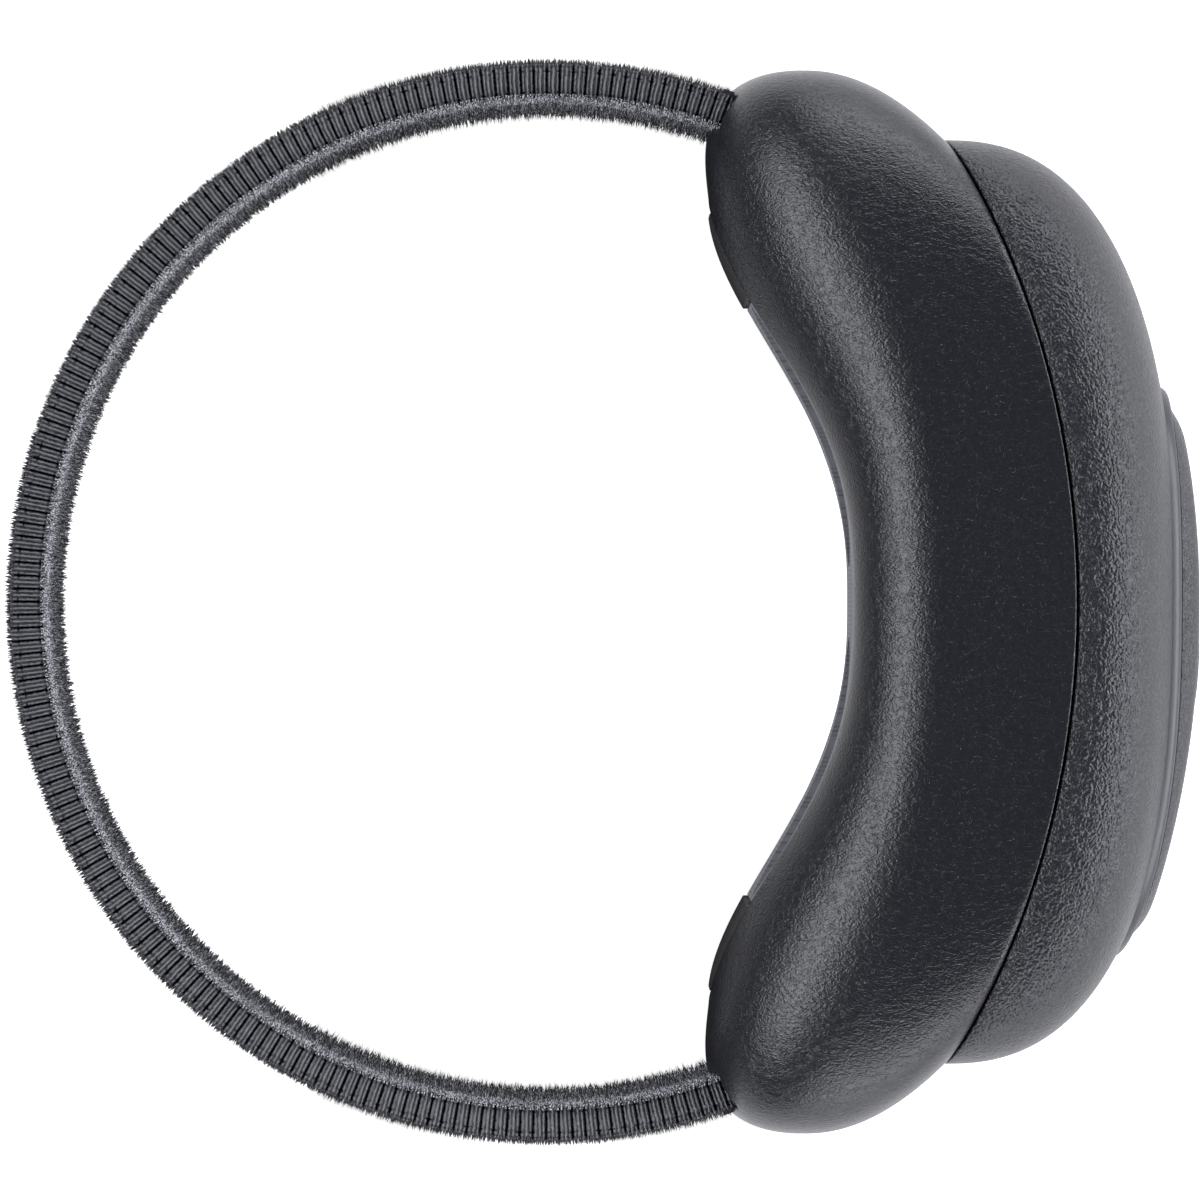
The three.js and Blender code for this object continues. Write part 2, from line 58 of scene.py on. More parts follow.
cushionTop = boxMm("face_cushion")[1][2]
shellFront = -boxMm("front_shell")[0][1]
podLow, podHigh = boxMm("control_pod")
plateLow, plateHigh = boxMm("front_plate")
strapLow, strapHigh = boxMm("head_strap")
midHeight = (strapLow[2] + strapHigh[2]) / 2
form = {
    "faceHalfWidth": 79.0,
    "faceHalfHeight": 31.0,
    "faceRoundness": 3.0,
    "faceForward": 49.0,
    "faceSag": 27.8,
    "faceReach": 82.4,
    "facePower": 1.36,
    "crestHalfWidth": 105.5,
    "crestRoundness": 4.0,
    "crestForward": 65.8,
    "crestRadius": 231.5,
    "seamHalfWidth": 91.6,
    "seamForward": 92.3,
    "seamRadius": 182.0,
    "halfHeight": 45.0,
    "seamRoundness": 4.2,
    "frontForward": shellFront,
    "frontRoundness": 2.4,
    "frontCurve": 2.42,
    "puff": (0.0, 0.14),  # at the middle and at the temples
    "squareness": (1.05, 0.8),
    "templeRange": (20.0, 85.0),  # where the middle's values give way to the temples'
    "lowerTilt": 0.05,
    "noseHalfWidth": 22.0,
    "noseSteepness": 3,
    "noseDeepest": 0.6,
    "noseShallowest": 0.3,
}


def sagOf(radius, x):
    return radius - np.sqrt(radius * radius - x * x)


def faceLine(x):
    share = np.minimum(np.abs(x) / form["faceReach"], 1) ** form["facePower"]
    return form["faceForward"] - form["faceSag"] * np.sin(math.pi / 2 * share) ** 2


def crestLine(x):
    return form["crestForward"] - sagOf(form["crestRadius"], x)


def seamLine(x):
    return form["seamForward"] - sagOf(form["seamRadius"], x)


def smoothStep(low, high, value):
    t = np.clip((value - low) / (high - low), 0, 1)
    return t * t * (3 - 2 * t)


def archedLevel(x, forward, level):  # the nose arch lifts the lower half near the middle
    span = form["frontForward"] - form["faceForward"]
    share = np.clip((forward - form["faceForward"]) / span, 0, 1)
    lift = form["noseDeepest"] + (form["noseShallowest"] - form["noseDeepest"]) * share
    raised = level * (1 - lift * np.exp(-((np.abs(x) / form["noseHalfWidth"]) ** form["noseSteepness"])))
    return np.where(level > 0, level, raised)


def onLoop(halfWidth, halfHigh, roundness, angle):
    c = np.cos(angle)
    s = np.sin(angle)
    reach = (np.abs(c) ** roundness + np.abs(s) ** roundness) ** (-1 / roundness)
    return halfWidth * reach * c, halfHigh * reach * s


def evenAngles(count, halfWidth, halfHigh, roundness):  # angles whose points are evenly spaced on the loop
    fine = np.linspace(0, 2 * math.pi, 6000)
    x, y = onLoop(halfWidth, halfHigh, roundness, fine)
    run = np.concatenate([[0], np.cumsum(np.hypot(np.diff(x), np.diff(y)))])
    return np.interp(np.linspace(0, run[-1], count, endpoint=False), run, fine)


def toWorld(x, forward, level):
    x, forward, level = np.broadcast_arrays(x, forward, level)
    return np.stack([x, -forward, level + midHeight], axis=-1) * mm


def worldOf(points):  # points hold x, forward and level in their last axis
    return toWorld(points[..., 0], points[..., 1], points[..., 2])


def fullTurn(count):
    return np.linspace(0, 2 * math.pi, count, endpoint=False)


def triples(x, forward, level):
    return np.stack([x, forward, level], -1)


# --- meshes
def gridObject(name, loops, closesAround=True, closesAlong=False, caps=False, uv=None):
    rows, count = loops.shape[:2]
    points = loops.reshape(-1, 3)
    across = np.arange(count if closesAround else count - 1)
    nextAcross = (across + 1) % count
    along = np.arange(rows if closesAlong else rows - 1)
    nextAlong = (along + 1) % rows
    a = along[:, None] * count + across[None]
    b = along[:, None] * count + nextAcross[None]
    c = nextAlong[:, None] * count + nextAcross[None]
    d = nextAlong[:, None] * count + across[None]
    quads = np.stack([a, b, c, d], axis=-1).reshape(-1, 4)
    faces = quads.tolist()
    if caps:
        faces.append(list(range(count - 1, -1, -1)))
        faces.append(list(range((rows - 1) * count, rows * count)))
    mesh = bpy.data.meshes.new(name)
    mesh.from_pydata(points.tolist(), [], faces)
    if uv is not None:
        layer = mesh.uv_layers.new(name="along")
        u, v = uv
        corners = np.zeros((len(mesh.loops), 2))
        uNext = np.append(u[1:], 2 * u[-1] - u[-2])
        vNext = np.append(v[1:], 2 * v[-1] - v[-2])
        i, j = np.meshgrid(along, across, indexing="ij")
        quadUv = np.stack([
            np.stack([u[i], v[j]], -1),
            np.stack([u[i], vNext[j]], -1),
            np.stack([uNext[i], vNext[j]], -1),
            np.stack([uNext[i], v[j]], -1),
        ], axis=2).reshape(-1, 2)
        corners[: len(quadUv)] = quadUv
        layer.data.foreach_set("uv", corners.ravel())
    return meshObject(name, mesh)


def meshObject(name, mesh):
    mesh.validate()
    mesh.shade_smooth()
    made = bpy.data.objects.new(name, mesh)
    bpy.context.scene.collection.objects.link(made)
    turnOutwards(mesh)
    return made


def turnOutwards(mesh):
    work = bmesh.new()
    work.from_mesh(mesh)
    bmesh.ops.recalc_face_normals(work, faces=work.faces)
    work.to_mesh(mesh)
    work.free()


def finishPiece(piece, material, body, replaced=()):
    piece.data.materials.clear()
    piece.data.materials.append(material)
    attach(piece, body)
    if replaced:
        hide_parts(*replaced)
    return piece


# --- materials
def linear(hexColour):
    parts = [int(hexColour[i : i + 2], 16) / 255 for i in (0, 2, 4)]
    return (*[p / 12.92 if p <= 0.04045 else ((p + 0.055) / 1.055) ** 2.4 for p in parts], 1)


def addNode(tree, kind, settings=None, links=None):
    made = tree.nodes.new("ShaderNode" + kind)
    for key, value in (settings or {}).items():
        if isinstance(key, int) or key in made.inputs:
            made.inputs[key].default_value = value
        else:
            setattr(made, key, value)
    for key, source in (links or {}).items():
        tree.links.new(source, made.inputs[key])
    return made


def compute(tree, operation, *operands):  # operands are numbers or sockets
    made = addNode(tree, "Math", {"operation": operation})
    for place, operand in enumerate(operands):
        if isinstance(operand, (int, float)):
            made.inputs[place].default_value = operand
        else:
            tree.links.new(operand, made.inputs[place])
    return made.outputs[0]


def startMaterial(name, shader):
    made = bpy.data.materials.new(name)
    made.use_nodes = True
    tree = made.node_tree
    tree.nodes.clear()
    surface = addNode(tree, "BsdfPrincipled", shader)
    addNode(tree, "OutputMaterial", links={"Surface": surface.outputs[0]})
    place = addNode(tree, "TexCoord").outputs["Object"]
    return made, tree, surface, place


def blendTones(tree, look, factor):  # from the dark tone to the light one
    tones = {"data_type": "RGBA", 6: linear(look["dark"]), 7: linear(look["light"])}
    return addNode(tree, "Mix", tones, {0: factor}).outputs[2]


def addRelief(tree, surface, height, depth, strength=1.0):  # depth in millimetres
    relief = addNode(tree, "Bump", {"Strength": strength, "Distance": depth * mm}, {"Height": height})
    tree.links.new(relief.outputs[0], surface.inputs["Normal"])


def leatherGrain(tree, surface, place, grain):
    # short soft wrinkles drawn out along the depth of the mask, on rounded pebbles; a broad noise bends them
    # so that their direction wanders, and fine pores lie on top
    mapped = addNode(
        tree, "Mapping",
        {"Scale": (1 / (grain["across"] * mm), 1 / (grain["along"] * mm), 1 / (grain["across"] * mm))},
        {"Vector": place},
    ).outputs[0]
    bend = addNode(tree, "TexNoise", {"Scale": 0.22, "Detail": 2.0}, {"Vector": mapped})
    shifted = addNode(
        tree, "VectorMath", {"operation": "MULTIPLY_ADD", 1: (grain["bend"],) * 3},
        {0: bend.outputs["Color"], 2: mapped},
    ).outputs[0]
    wrinkles = addNode(
        tree, "TexNoise", {"Scale": 0.72, "Detail": 1.6, "Roughness": 0.55}, {"Vector": shifted}
    ).outputs["Fac"]
    cells = addNode(
        tree, "TexVoronoi", {"feature": "F1", "Scale": 0.95}, {"Vector": shifted}
    ).outputs["Distance"]
    pebbles = compute(tree, "MULTIPLY_ADD", cells, -grain["pebbles"], wrinkles)
    pores = addNode(tree, "TexNoise", {"Scale": 2.6, "Detail": 2.0}, {"Vector": mapped}).outputs["Fac"]
    addRelief(tree, surface, compute(tree, "MULTIPLY_ADD", pores, grain["pores"], pebbles), grain["depth"])
    return pebbles


def leatherMaterial(name, look):
    made, tree, surface, place = startMaterial(
        name, {"IOR": look["ior"], "Roughness": look["roughness"]}
    )
    pebbles = leatherGrain(tree, surface, place, look["grain"])
    broad = addNode(tree, "TexNoise", {"Scale": 1 / (18 * mm), "Detail": 3.0}, {"Vector": place})
    tree.links.new(blendTones(tree, look, broad.outputs["Fac"]), surface.inputs["Base Color"])
    # the tops of the pebbles are rubbed a little smoother than the creases
    rubbed = addNode(
        tree, "MapRange",
        {"From Min": -0.1, "From Max": 0.5, "To Min": look["roughness"] + 0.06,
         "To Max": look["roughness"] - 0.03},
        {"Value": pebbles},
    )
    tree.links.new(rubbed.outputs[0], surface.inputs["Roughness"])
    return made


# PU leatherette, embossed with a fine grain and matt-lacquered: soft broad highlights broken into glints
cushionLeather = {
    "dark": "0d0e13", "light": "111217", "roughness": 0.34, "ior": 1.5,
    "grain": {"across": 0.36, "along": 0.62, "bend": 5.0, "pebbles": 0.35, "pores": 0.05, "depth": 0.155},
}
# the shell's skin has rounder, deeper pebbles
shellLeather = {
    "dark": "0f1015", "light": "14151b", "roughness": 0.34, "ior": 1.5,
    "grain": {"across": 0.62, "along": 0.62, "bend": 2.5, "pebbles": 0.8, "pores": 0.1, "depth": 0.27},
}
leatherette = leatherMaterial("leatherette_embossed_fine", cushionLeather)
shellSkin = leatherMaterial("leather_grain_skin_coarse", shellLeather)


def mouldedMaterial(name, look):  # moulded or dipped plastic and rubber: a fine even texture and slight tone
    made, tree, surface, place = startMaterial(
        name,
        {"IOR": look.get("ior", 1.5), "Roughness": look["roughness"], "Metallic": look.get("metallic", 0.0)},
    )
    spots = addNode(tree, "TexNoise", {"Scale": 1 / (look["texture"] * mm), "Detail": 4.0}, {"Vector": place})
    tree.links.new(blendTones(tree, look, spots.outputs["Fac"]), surface.inputs["Base Color"])
    rough = addNode(
        tree, "MapRange",
        {"To Min": look["roughness"] - 0.05, "To Max": look["roughness"] + 0.06},
        {"Value": spots.outputs["Fac"]},
    )
    tree.links.new(rough.outputs[0], surface.inputs["Roughness"])
    addRelief(tree, surface, spots.outputs["Fac"], look["depth"], 0.5)
    return made


plainFinishes = {
    # spark-eroded ABS: satin black with a faint tooth
    "abs_moulded_satin": {
        "dark": "24252a", "light": "2c2d32", "roughness": 0.36, "texture": 0.5, "depth": 0.01,
    },
    # silicone rubber, moulded matt: soft dark sheen
    "silicone_moulded_matt": {
        "dark": "060607", "light": "0a0a0b", "roughness": 0.6, "texture": 0.7, "depth": 0.02,
    },
    # turned and tumbled steel
    "steel_tumbled": {
        "dark": "8f9194", "light": "b4b6b9", "roughness": 0.33, "texture": 0.9, "depth": 0.01,
        "metallic": 1.0,
    },
    # sintered brass weight: slightly porous
    "brass_sintered": {
        "dark": "8a6a38", "light": "b08c50", "roughness": 0.45, "texture": 0.4, "depth": 0.03,
        "metallic": 1.0,
    },
    # unfilled ABS in natural white
    "abs_natural": {"dark": "cfcfca", "light": "dededa", "roughness": 0.45, "texture": 1.2, "depth": 0.02},
    # TPU film, welded: cloudy and soft
    "tpu_film_welded": {"dark": "c9c4b4", "light": "ddd9cb", "roughness": 0.3, "texture": 3.0, "depth": 0.15},
    # polyimide heating film: amber and glossy
    "polyimide_film": {"dark": "8a4a10", "light": "b46a1c", "roughness": 0.22, "texture": 1.6, "depth": 0.05},
    # acrylic light window, moulded
    "acrylic_moulded": {
        "dark": "c8d0d2", "light": "dde4e6", "roughness": 0.12, "texture": 2.0, "depth": 0.005,
    },
}
finishes = {name: mouldedMaterial(name, look) for name, look in plainFinishes.items()}
rubber = finishes["silicone_moulded_matt"]


def solderMaskMaterial():  # FR4 board with a green solder mask: copper tracks show through as paler lines
    made, tree, surface, place = startMaterial("fr4_solder_mask", {"Roughness": 0.32, "IOR": 1.5})
    tracks = addNode(
        tree, "TexBrick",
        {"Scale": 1 / (3.0 * mm), "Mortar Size": 0.06, "Color1": linear("12402a"), "Color2": linear("164a31"),
         "Mortar": linear("2c7a4c")},
        {"Vector": place},
    )
    tree.links.new(tracks.outputs["Color"], surface.inputs["Base Color"])
    addRelief(tree, surface, tracks.outputs["Fac"], 0.03, 0.3)
    return made


solderMask = solderMaskMaterial()


def wovenMaterial(name, look):  # plain weave or brushed cloth: crossing threads with a little fuzz
    made, tree, surface, place = startMaterial(
        name,
        {"Roughness": 0.85, "IOR": 1.45, "Sheen Weight": look["sheen"], "Sheen Roughness": 0.5,
         "Sheen Tint": linear("c8cad0")},
    )
    scale = 2 * math.pi / (look["thread"] * mm)
    heights = []
    for direction in ("X", "Z"):
        wave = addNode(  # a wave's own scale of 1 is 20 radians to the metre
            tree, "TexWave",
            {"wave_type": "BANDS", "bands_direction": direction, "Scale": scale / 20, "Distortion": 0.6,
             "Detail": 2.0, "Detail Scale": 1.5},
            {"Vector": place},
        )
        heights.append(wave.outputs["Fac"])
    threads = compute(tree, "MAXIMUM", *heights)
    tree.links.new(blendTones(tree, look, threads), surface.inputs["Base Color"])
    addRelief(tree, surface, threads, look["depth"], 0.6)
    return made


# polyester lining, woven and brushed: flat mid grey
liningCloth = wovenMaterial(
    "polyester_woven_grey", {"dark": "4c4d51", "light": "66676b", "thread": 0.9, "depth": 0.08, "sheen": 0.2}
)


def ribbedWeaveMaterial(look):  # woven polyester band: fine cross threads between deep ribs, with a dry sheen
    made, tree, surface, place = startMaterial(
        "polyester_ribbed_weave",
        {"Roughness": 0.34, "IOR": 1.5, "Sheen Weight": 0.1, "Sheen Roughness": 0.4,
         "Sheen Tint": linear("c8cad0")},
    )
    flat = addNode(tree, "SeparateXYZ", links={0: addNode(tree, "TexCoord").outputs["UV"]})
    run, across = flat.outputs["X"], flat.outputs["Y"]
    noise = addNode(tree, "TexNoise", {"Scale": 1 / (0.6 * mm), "Detail": 3.0}, {"Vector": place})
    fuzz = noise.outputs["Fac"]
    # each groove ends in a stitch at both seams; the fuzz makes its edge uneven
    near, far = look["seams"]
    toRib = compute(tree, "PINGPONG", run, look["rib"] / 2 * mm)
    fromMiddle = compute(tree, "ABSOLUTE", compute(tree, "SUBTRACT", across, (near + far) / 2 * mm))
    fromSeam = compute(tree, "SUBTRACT", fromMiddle, (far - near) / 2 * mm)
    apart = addNode(
        tree, "CombineXYZ", links={0: compute(tree, "MULTIPLY", toRib, look["stitch"]), 1: fromSeam}
    ).outputs[0]
    toStitch = addNode(tree, "VectorMath", {"operation": "LENGTH"}, {0: apart}).outputs["Value"]
    closest = compute(tree, "MINIMUM", toRib, toStitch)
    raised = addNode(
        tree, "MapRange",
        {"interpolation_type": "SMOOTHSTEP", "From Min": look["crease"][0] * mm,
         "From Max": look["crease"][1] * mm},
        {"Value": compute(tree, "MULTIPLY_ADD", fuzz, look["ragged"] * mm, closest)},
    ).outputs[0]
    # threads run across the band, and wander; one groove between them falls on each rib's groove
    angle = compute(tree, "MULTIPLY", run, 2 * math.pi / (look["thread"] * mm))
    shifted = compute(tree, "MULTIPLY_ADD", fuzz, look["wander"], angle)
    thread = compute(tree, "SINE", compute(tree, "SUBTRACT", shifted, (math.pi + look["wander"]) / 2))
    height = compute(tree, "MULTIPLY_ADD", fuzz, 0.8, thread)
    # painted highlight: the colour follows the height, so the thread tops are painted lighter than their
    # hollows
    tone = addNode(tree, "MapRange", {"From Min": 0.0, "From Max": 1.5}, {"Value": height}).outputs[0]
    # painted shade: the grooves are painted near black, and their specular is turned down below
    creaseShaded = addNode(
        tree, "Mix", {"data_type": "RGBA", 6: linear(look["creaseShadeColour"])},
        {0: raised, 7: blendTones(tree, look, tone)},
    )
    tree.links.new(creaseShaded.outputs[2], surface.inputs["Base Color"])
    shine = addNode(tree, "MapRange", {"To Max": 0.5}, {"Value": raised})
    tree.links.new(shine.outputs[0], surface.inputs["Specular IOR Level"])
    addRelief(tree, surface, height, look["depth"], 0.8)
    return made


def pileMaterial(name, look):  # polyester plush: some fibres are painted light, a painted highlight of fibres catching the light, and others stay dark
    made, tree, surface, place = startMaterial(
        name,
        {"Roughness": look["roughness"], "IOR": 1.45, "Sheen Weight": look["sheen"], "Sheen Roughness": 0.35,
         "Sheen Tint": linear("d0d2d6")},
    )
    spots = addNode(tree, "TexNoise", {"Scale": 1 / (look["fibre"] * mm), "Detail": 1.0}, {"Vector": place})
    ramp = addNode(tree, "ValToRGB", links={"Fac": spots.outputs["Fac"]})
    first, last = ramp.color_ramp.elements
    first.position, first.color = look["from"], linear(look["dark"])
    last.position, last.color = look["to"], linear(look["light"])
    # painted shade: the tips are painted darker than the roots, by their distance from the loop's upright
    # axis
    arm = addNode(
        tree, "VectorMath",
        {"operation": "MULTIPLY_ADD", 1: (1, 1, 0), 2: (0, strap["centreForward"] * mm, 0)},
        {0: place},
    ).outputs[0]
    away = addNode(tree, "VectorMath", {"operation": "LENGTH"}, {0: arm}).outputs["Value"]
    paintedTipShade = addNode(
        tree, "MapRange",
        {"From Min": look["rootRadius"] * mm, "From Max": look["tipRadius"] * mm}, {"Value": away},
    )
    colour = addNode(
        tree, "Mix", {"data_type": "RGBA", 7: linear(look["tip"])}, {0: paintedTipShade.outputs[0], 6: ramp.outputs[0]}
    )
    tree.links.new(colour.outputs[2], surface.inputs["Base Color"])
    shine = addNode(tree, "MapRange", {"To Min": 0.5, "To Max": 0.1}, {"Value": paintedTipShade.outputs[0]})
    tree.links.new(shine.outputs[0], surface.inputs["Specular IOR Level"])
    return made


print("materials made")


# --- face cushion
cushion = {
    "around": 640,
    "rollSteps": 46,
    "flatSteps": 16,
    "lip": ((1.6, 7.0), (1.4, 3.4), (1.0, 1.2), (0.5, 0.3)),  # inward and deeper, into the face opening
    "edgeTurns": (20, 45, 70, 90),
    "flange": (4.0, 9.0),  # inward from the seam
    "seamGap": 0.45,
    "edgeRadius": 0.5,
    "slotDepth": 17.0,
    "slotHalfHigh": 21.0,
    "slotInner": 99.6,
    "slotOuter": 105.2,
    "slotEdge": (0.7, -0.2),  # the leather starts to turn in outside the slot and is fully in inside it
    "slotRegion": (34.0, 85.0),  # slots lie behind the first and outside the second
}


def pressSlots(points):  # the leather is tucked inwards where each strap end goes in
    x, forward, level = points[..., 0], points[..., 1], points[..., 2]
    fromCentre = np.hypot(np.abs(x), forward - strap["centreForward"])
    middle = (cushion["slotInner"] + cushion["slotOuter"]) / 2
    halfWide = (cushion["slotOuter"] - cushion["slotInner"]) / 2
    outside = np.maximum(np.abs(fromCentre - middle) - halfWide, np.abs(level) - cushion["slotHalfHigh"])
    behind, beyond = cushion["slotRegion"]
    near = smoothStep(*cushion["slotEdge"], outside) * (forward < behind) * (np.abs(x) > beyond)
    depth = near * cushion["slotDepth"]
    turn = depth / middle
    angle = np.arctan2(forward - strap["centreForward"], np.abs(x)) + turn
    newX = np.sign(x) * fromCentre * np.cos(angle)
    newForward = strap["centreForward"] + fromCentre * np.sin(angle)
    return np.stack([newX, newForward, level], axis=-1)


def buildCushion():
    halfHigh = form["halfHeight"]
    angles = evenAngles(cushion["around"], form["crestHalfWidth"], halfHigh, form["crestRoundness"])
    faceX, faceZ = onLoop(form["faceHalfWidth"], form["faceHalfHeight"], form["faceRoundness"], angles)
    crestX, crestZ = onLoop(form["crestHalfWidth"], halfHigh, form["crestRoundness"], angles)
    seamX, seamZ = onLoop(form["seamHalfWidth"], halfHigh, form["seamRoundness"], angles)
    crestAt = crestLine(crestX)
    towardsTemple = smoothStep(*form["templeRange"], np.abs(faceX))
    puff = form["puff"][0] + (form["puff"][1] - form["puff"][0]) * towardsTemple
    square = form["squareness"][0] + (form["squareness"][1] - form["squareness"][0]) * towardsTemple
    loops = []
    for inward, deeper in cushion["lip"]:
        shrink = 1 - inward / form["faceHalfHeight"]
        forward = faceLine(faceX) + deeper + form["lowerTilt"] * np.maximum(-faceZ, 0)
        loops.append(triples(faceX * shrink, forward, faceZ * shrink))
    for i in range(cushion["rollSteps"] + 1):
        turn = math.pi / 2 * i / cushion["rollSteps"]
        out = math.sin(turn) ** square
        back = max(math.cos(turn), 0) ** square + puff * math.sin(2 * turn)
        level = faceZ + (crestZ - faceZ) * out
        tilt = form["lowerTilt"] * np.maximum(-level, 0) * math.cos(turn)
        forward = crestAt - (crestAt - faceLine(faceX)) * back + tilt
        loops.append(triples(faceX + (crestX - faceX) * out, forward, level))
    seamAt = seamLine(seamX) - cushion["seamGap"]
    last = 1 - cushion["edgeRadius"] / (form["seamForward"] - form["crestForward"])
    for i in range(1, cushion["flatSteps"] + 1):
        share = last * i / cushion["flatSteps"]
        forward = crestAt + (seamAt - crestAt) * share
        bend = share * share
        x = crestX + (seamX - crestX) * bend
        loops.append(triples(x, forward, crestZ + (seamZ - crestZ) * bend))
    for turn in np.radians(cushion["edgeTurns"]):  # rounded edge at the seam
        inward = cushion["edgeRadius"] * (1 - math.cos(turn))
        shrinkX = 1 - inward / form["seamHalfWidth"]
        shrinkZ = 1 - inward / halfHigh
        forward = seamAt - cushion["edgeRadius"] * (1 - math.sin(turn))
        loops.append(triples(seamX * shrinkX, forward, seamZ * shrinkZ))
    for inward in cushion["flange"]:
        shrinkX = 1 - inward / form["seamHalfWidth"]
        loops.append(triples(seamX * shrinkX, seamAt, seamZ * (1 - inward / halfHigh)))
    points = np.array(loops)
    points[..., 2] = archedLevel(points[..., 0], points[..., 1], points[..., 2])
    points = pressSlots(points)
    points[..., 2] = np.maximum(points[..., 2], -midHeight)  # the foam presses flat where it stands
    piece = gridObject("faceCushion", worldOf(points))
    return finishPiece(piece, leatherette, "mask", ["face_cushion"])


# --- front shell
shell = {
    "around": 560,
    "steps": 56,
    "edgeRadius": 0.5,
    "edgeTurns": (90, 65, 40, 15),
    "flange": (9.0, 4.0),  # inward from the seam
    "crowding": 0.8,  # rows crowd where the shell curves most
    "sweep": 0.72,  # of a quarter turn, from the seam to the plate's opening
    "openingFrom": 0.35,
    # inward and down from the rim of the plate's opening
    "throat": ((0.08, 0.1), (0.25, 0.35), (0.3, 0.9), (0.3, 2.2), (3.0, 2.4)),
}


def shellRoundness(share):
    return form["frontRoundness"] + (form["seamRoundness"] - form["frontRoundness"]) * share


def shellDepth(share, angle):
    edgeX, _ = onLoop(form["seamHalfWidth"], form["halfHeight"], form["seamRoundness"], angle)
    edge = seamLine(edgeX)
    rise = np.maximum(1 - share ** form["frontCurve"], 0) ** (1 / form["frontCurve"])
    return edge + (form["frontForward"] - edge) * rise


def shellForward(x, level):
    across = x / form["seamHalfWidth"]
    up = level / form["halfHeight"]
    angle = np.arctan2(up, across)
    distance = np.hypot(across, up)
    low = np.zeros_like(distance)
    high = np.ones_like(distance)
    for _ in range(26):  # halved until the loop through this place is found
        share = (low + high) / 2
        ox, oy = onLoop(share, share, shellRoundness(share), angle)
        inside = np.hypot(ox, oy) < distance
        low = np.where(inside, share, low)
        high = np.where(inside, high, share)
    return shellDepth((low + high) / 2, angle)


def plateOutline(angle, grow=0.0):
    x, level = onLoop(plate["halfWidth"] + grow, plate["halfHigh"] + grow, plate["roundness"], angle)
    return plate["x"] + x, level


def buildShell():
    angles = evenAngles(shell["around"], form["seamHalfWidth"], form["halfHeight"], form["seamRoundness"])
    seamX, seamZ = onLoop(form["seamHalfWidth"], form["halfHeight"], form["seamRoundness"], angles)
    seamAt = seamLine(seamX)

    def shrunkSeam(inward, forward):
        shrinkX = 1 - inward / form["seamHalfWidth"]
        shrinkZ = 1 - inward / form["halfHeight"]
        return triples(seamX * shrinkX, forward, seamZ * shrinkZ)

    loops = [shrunkSeam(inward, seamAt) for inward in shell["flange"]]
    for turn in np.radians(shell["edgeTurns"]):
        inward = shell["edgeRadius"] * (1 - math.cos(turn))
        loops.append(shrunkSeam(inward, seamAt + shell["edgeRadius"] * (1 - math.sin(turn))))
    openX, openZ = plateOutline(angles, plate["groove"])
    for i in range(1, shell["steps"] + 1):
        done = i / shell["steps"]
        share = math.cos(math.pi / 2 * done ** shell["crowding"] * shell["sweep"])
        wide, high = form["seamHalfWidth"] * share, form["halfHeight"] * share
        x, level = onLoop(wide, high, shellRoundness(share), angles)
        towards = smoothStep(shell["openingFrom"], 1, done)
        x = x + (openX - x) * towards
        level = level + (openZ - level) * towards
        forward = np.maximum(shellForward(x, level), seamAt + shell["edgeRadius"])
        loops.append(triples(x, forward, level))
    edge = loops[-1]
    for inward, down in shell["throat"]:
        x, level = plateOutline(angles, plate["groove"] - inward)
        loops.append(triples(x, edge[:, 1] - down, level))
    points = np.array(loops)
    points[..., 2] = archedLevel(points[..., 0], points[..., 1], points[..., 2])
    points[..., 2] = np.maximum(points[..., 2], -midHeight)
    piece = gridObject("frontShell", worldOf(points))
    return finishPiece(piece, shellSkin, "mask", ["front_shell"])


# --- front plate, control pod, buttons and light window
plate = {
    "x": (plateLow[0] + plateHigh[0]) / 2,
    "halfWidth": (plateHigh[0] - plateLow[0]) / 2,
    "halfHigh": (plateHigh[2] - plateLow[2]) / 2,
    "roundness": 2.6,
    "groove": 0.5,
    "sunk": 0.35,
    "lift": 0.45,
    "proud": 1.0,
    "edge": 1.5,
    "rimStops": (0.0, 0.12, 0.3, 0.5, 0.75, 1.0),
    "rimCurve": 1.7,
    "rear": ((3.0, 2.6), (0.0, 2.4)),  # inward, and behind the shell's surface
    "face": (2.4, 4.0, 5.0),
    "hole": (5.2, 0.8),  # inward, and behind the shell's surface
}
pod = {
    "x": (podLow[0] + podHigh[0]) / 2,
    "halfWidth": (podHigh[0] - podLow[0]) / 2,
    "halfHigh": (podHigh[2] - podLow[2]) / 2,
    "roundness": 2.8,
    "forward": -podLow[1],
    "radius": 203.3,
    "crown": 0.9,
    "edge": 6.0,
    "rimStops": (0.03, 0.1, 0.2, 0.32, 0.46, 0.62, 0.8, 1.0),
    "rimCurve": 1.9,
    "rootGap": 0.1,
    "rootInward": 4.0,
    "face": (7.5, 9.0, 11.0, 13.5, 16.0, 18.5),
    "cutFrom": 100.0,  # the holes are cut between these two places, forward
    "cutTo": 130.0,
}
buttons = {
    "power": {"x": -14.0, "radius": 8.5, "ring": 3.4},
    "mode": {"x": 12.0, "radius": 5.5, "ring": 1.6},
}
cap = {
    "gap": 0.4,
    "points": 96,
    "stem": 3.0,
    "sunk": 0.9,
    "corner": 0.7,
    "shoulder": -0.45,
    "cornerTurns": (0, 20, 40, 60, 80),
    "height": 0.25,
    "dish": 0.35,
    "dishStops": (0.85, 0.7, 0.55),
    # across and up from the middle of a raised ring, which is there to find by touch
    "ringShape": ((0.5, 0.0), (0.35, 0.1), (0.15, 0.2), (-0.15, 0.2), (-0.35, 0.1), (-0.5, 0.0)),
}
window = {
    "x": -42.0,
    "halfWidth": 6.0,
    "halfHigh": 1.0,
    "gap": 0.3,
    # how much smaller than the outline, and the height above the pod's face
    "profile": ((0, -0.9), (0, -0.12), (-0.12, 0.0), (-0.5, 0.04), (-0.95, 0.06)),
}


